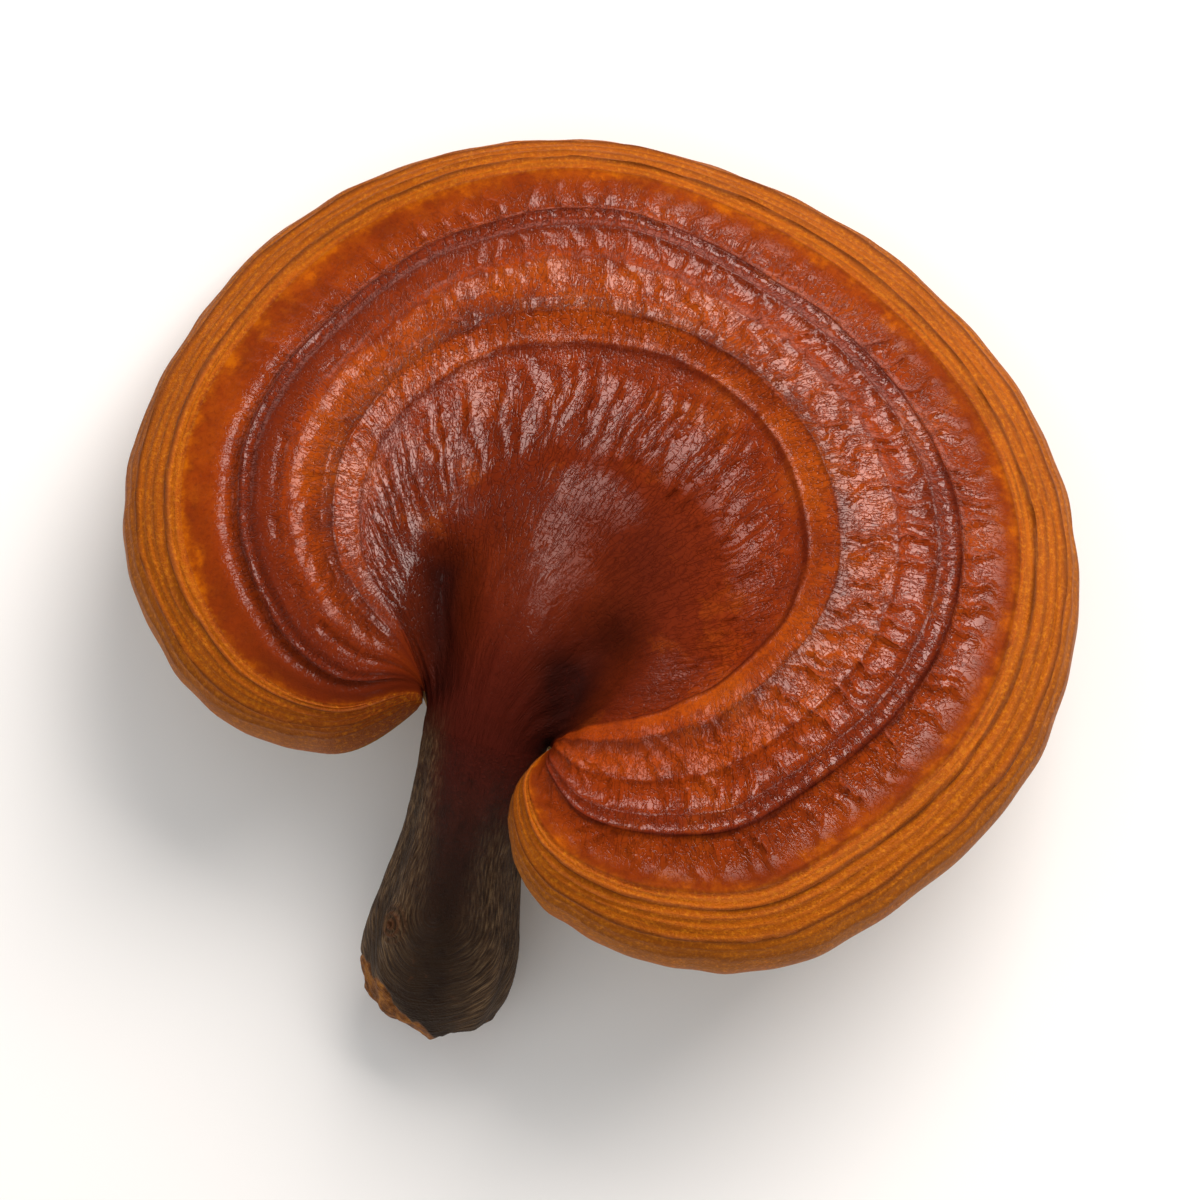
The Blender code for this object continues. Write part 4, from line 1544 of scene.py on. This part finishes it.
@dataclass(frozen=True)
class PoreSurface:
    """Pore surface, dry: matt tan felt pierced by fine tubes, drawn three times as coarse to show."""

    pitch: float = 0.7
    depth: float = 0.2
    cloud_size: float = 14.0
    bare_rim: Range = (6, 2.5)
    pierced: Range = (3, 6)
    felt: str = "#B08A58"
    # Painted shade: colour inside the pore mouths
    pore: str = "#5E3C1E"
    rim: str = "#96601F"
    roughness: float = 0.85
    specular: float = 0.2

    def make(self) -> Material:
        """Makes the material.

        Returns:
            The material.
        """
        finish = Finish("mushroom_pore_surface")
        _, (_, inset, _) = finish.grown("growth")
        place = finish.place()
        mouth = finish.add("TexVoronoi", Vector=place, Scale=per(self.pitch), Randomness=0.7)
        mouth = finish.add("MapRange", mouth, 0.2, 0.45, 0, 1)
        cloud = finish.add("TexNoise", Vector=place, Scale=per(self.cloud_size), Detail=4)
        cloud = finish.add("MapRange", cloud, 0.4, 0.75, 0, 0.6)
        edge = finish.add("MapRange", inset, *self.bare_rim, 0, 1)
        # Painted shade in the pore mouths, over the tan felt
        colour = finish.over(self.pore, (mouth, self.felt), (cloud, self.rim), (edge, self.rim))
        deep = finish.add("MapRange", inset, *self.pierced, 0, self.depth)
        return finish.done({
            "Base Color": colour, "Roughness": self.roughness, "Specular IOR Level": self.specular,
        }, finish.product(mouth, deep))


@dataclass(frozen=True)
class StemBark:
    """Stem crust, dry: hard near-black bark over torn corky flesh, satin in front and fibrous at the flanks.

    A range is of distances below the neck from where something begins to where it is in full.
    """

    roughness: float = 0.7
    specular: float = 0.03
    satin: float = 0.3
    satin_roughness: float = 0.45
    fibre_height: float = 0.1
    crumb: float = 0.9
    crumb_height: float = 0.1
    cloud_size: float = 4.0
    grain_size: float = 2.6
    charred: Range = (0, 10)
    rusted: Range = (26, 36)
    polished: Range = (0, 18)
    char: str = "#22130D"
    rust: str = "#56321A"
    flesh: str = "#7A4719"
    flesh_pale: str = "#A96F2B"
    flesh_dark: str = "#35200F"

    def make(self) -> Material:
        """Makes the material.

        Returns:
            The material.
        """
        finish = Finish("mushroom_stem_bark")
        _, (_, down, _) = finish.grown("fibre")
        _, (torn, knot, flank) = finish.grown("tint")
        _, (relief, _, _) = finish.grown("skin")
        place = finish.place()
        colours = StemColours()
        along = finish.add("MapRange", down, -colours.above, colours.span - colours.above, 0, 1)
        stops = tuple(((at + colours.above) / colours.span, colour) for at, colour in colours.stops)
        colour = finish.add("ValToRGB", Fac=along, stops=stops)

        # Charred blotches all over, and rusty spots towards the foot
        cloud = finish.add("TexNoise", Vector=place, Scale=per(self.cloud_size), Detail=5, Roughness=0.7)
        low = finish.add("MapRange", down, *self.rusted, 0, 1)
        blotch = finish.add("MapRange", cloud, 0.52, 0.38, 0, 0.55)
        below = finish.add("MapRange", down, *self.charred, 0, 1)
        spot = finish.add("MapRange", cloud, 0.6, 0.72, 0, 0.7)
        coats = ((finish.product(blotch, below), self.char), (finish.product(spot, low), self.rust))
        colour = colours.flanks(finish, finish.over(colour, *coats), flank)

        # The knot, painted shade in the bark's low places, and the torn flesh
        rusty = finish.add("MapRange", knot, 0.1, 0.7, 0, 0.8)
        furrow = finish.add("MapRange", relief, -0.05, -0.6, 0, 0.7)
        grain = finish.add("TexNoise", Vector=place, Scale=per(self.grain_size), Detail=5, Roughness=0.75)
        pale = finish.add("MapRange", grain, 0.5, 0.66, 0, 0.9)
        dark = finish.add("MapRange", grain, 0.5, 0.36, 0, 0.8)
        flesh = finish.over(self.flesh, (pale, self.flesh_pale), (dark, self.flesh_dark))
        colour = finish.over(colour, (rusty, self.rust), (furrow, colours.furrow), (torn, flesh))
        crumbs = finish.raised(place, per(self.crumb), self.crumb_height, Detail=2)
        height = finish.add("Math", colours.relief(finish, self.fibre_height), crumbs, operation="ADD")
        return finish.done({
            "Base Color": colour, "Roughness": self.roughness, "Specular IOR Level": self.specular,
            "Coat Weight": finish.add("MapRange", down, *self.polished, 0, self.satin),
            "Coat Roughness": self.satin_roughness,
        }, height)


def dress(piece: Piece, cad_node: str) -> None:
    """Says what a finished piece rides on, and hides the CAD node that it stands for.

    Args:
        piece: The piece.
        cad_node: The node of the solids that it stands for.
    """
    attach(piece, "root")
    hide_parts(cad_node)
    log.info("%s: %d faces", piece.name, len(piece.data.polygons))


def main() -> None:
    """Builds the mushroom and its studio, piece by piece."""
    logging.basicConfig(level=logging.INFO, format="%(message)s")
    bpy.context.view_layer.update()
    dress(Cap().build(), "cap")
    dress(Stem().build(), "stem")
    Studio().build()


if __name__ == "__main__":
    main()
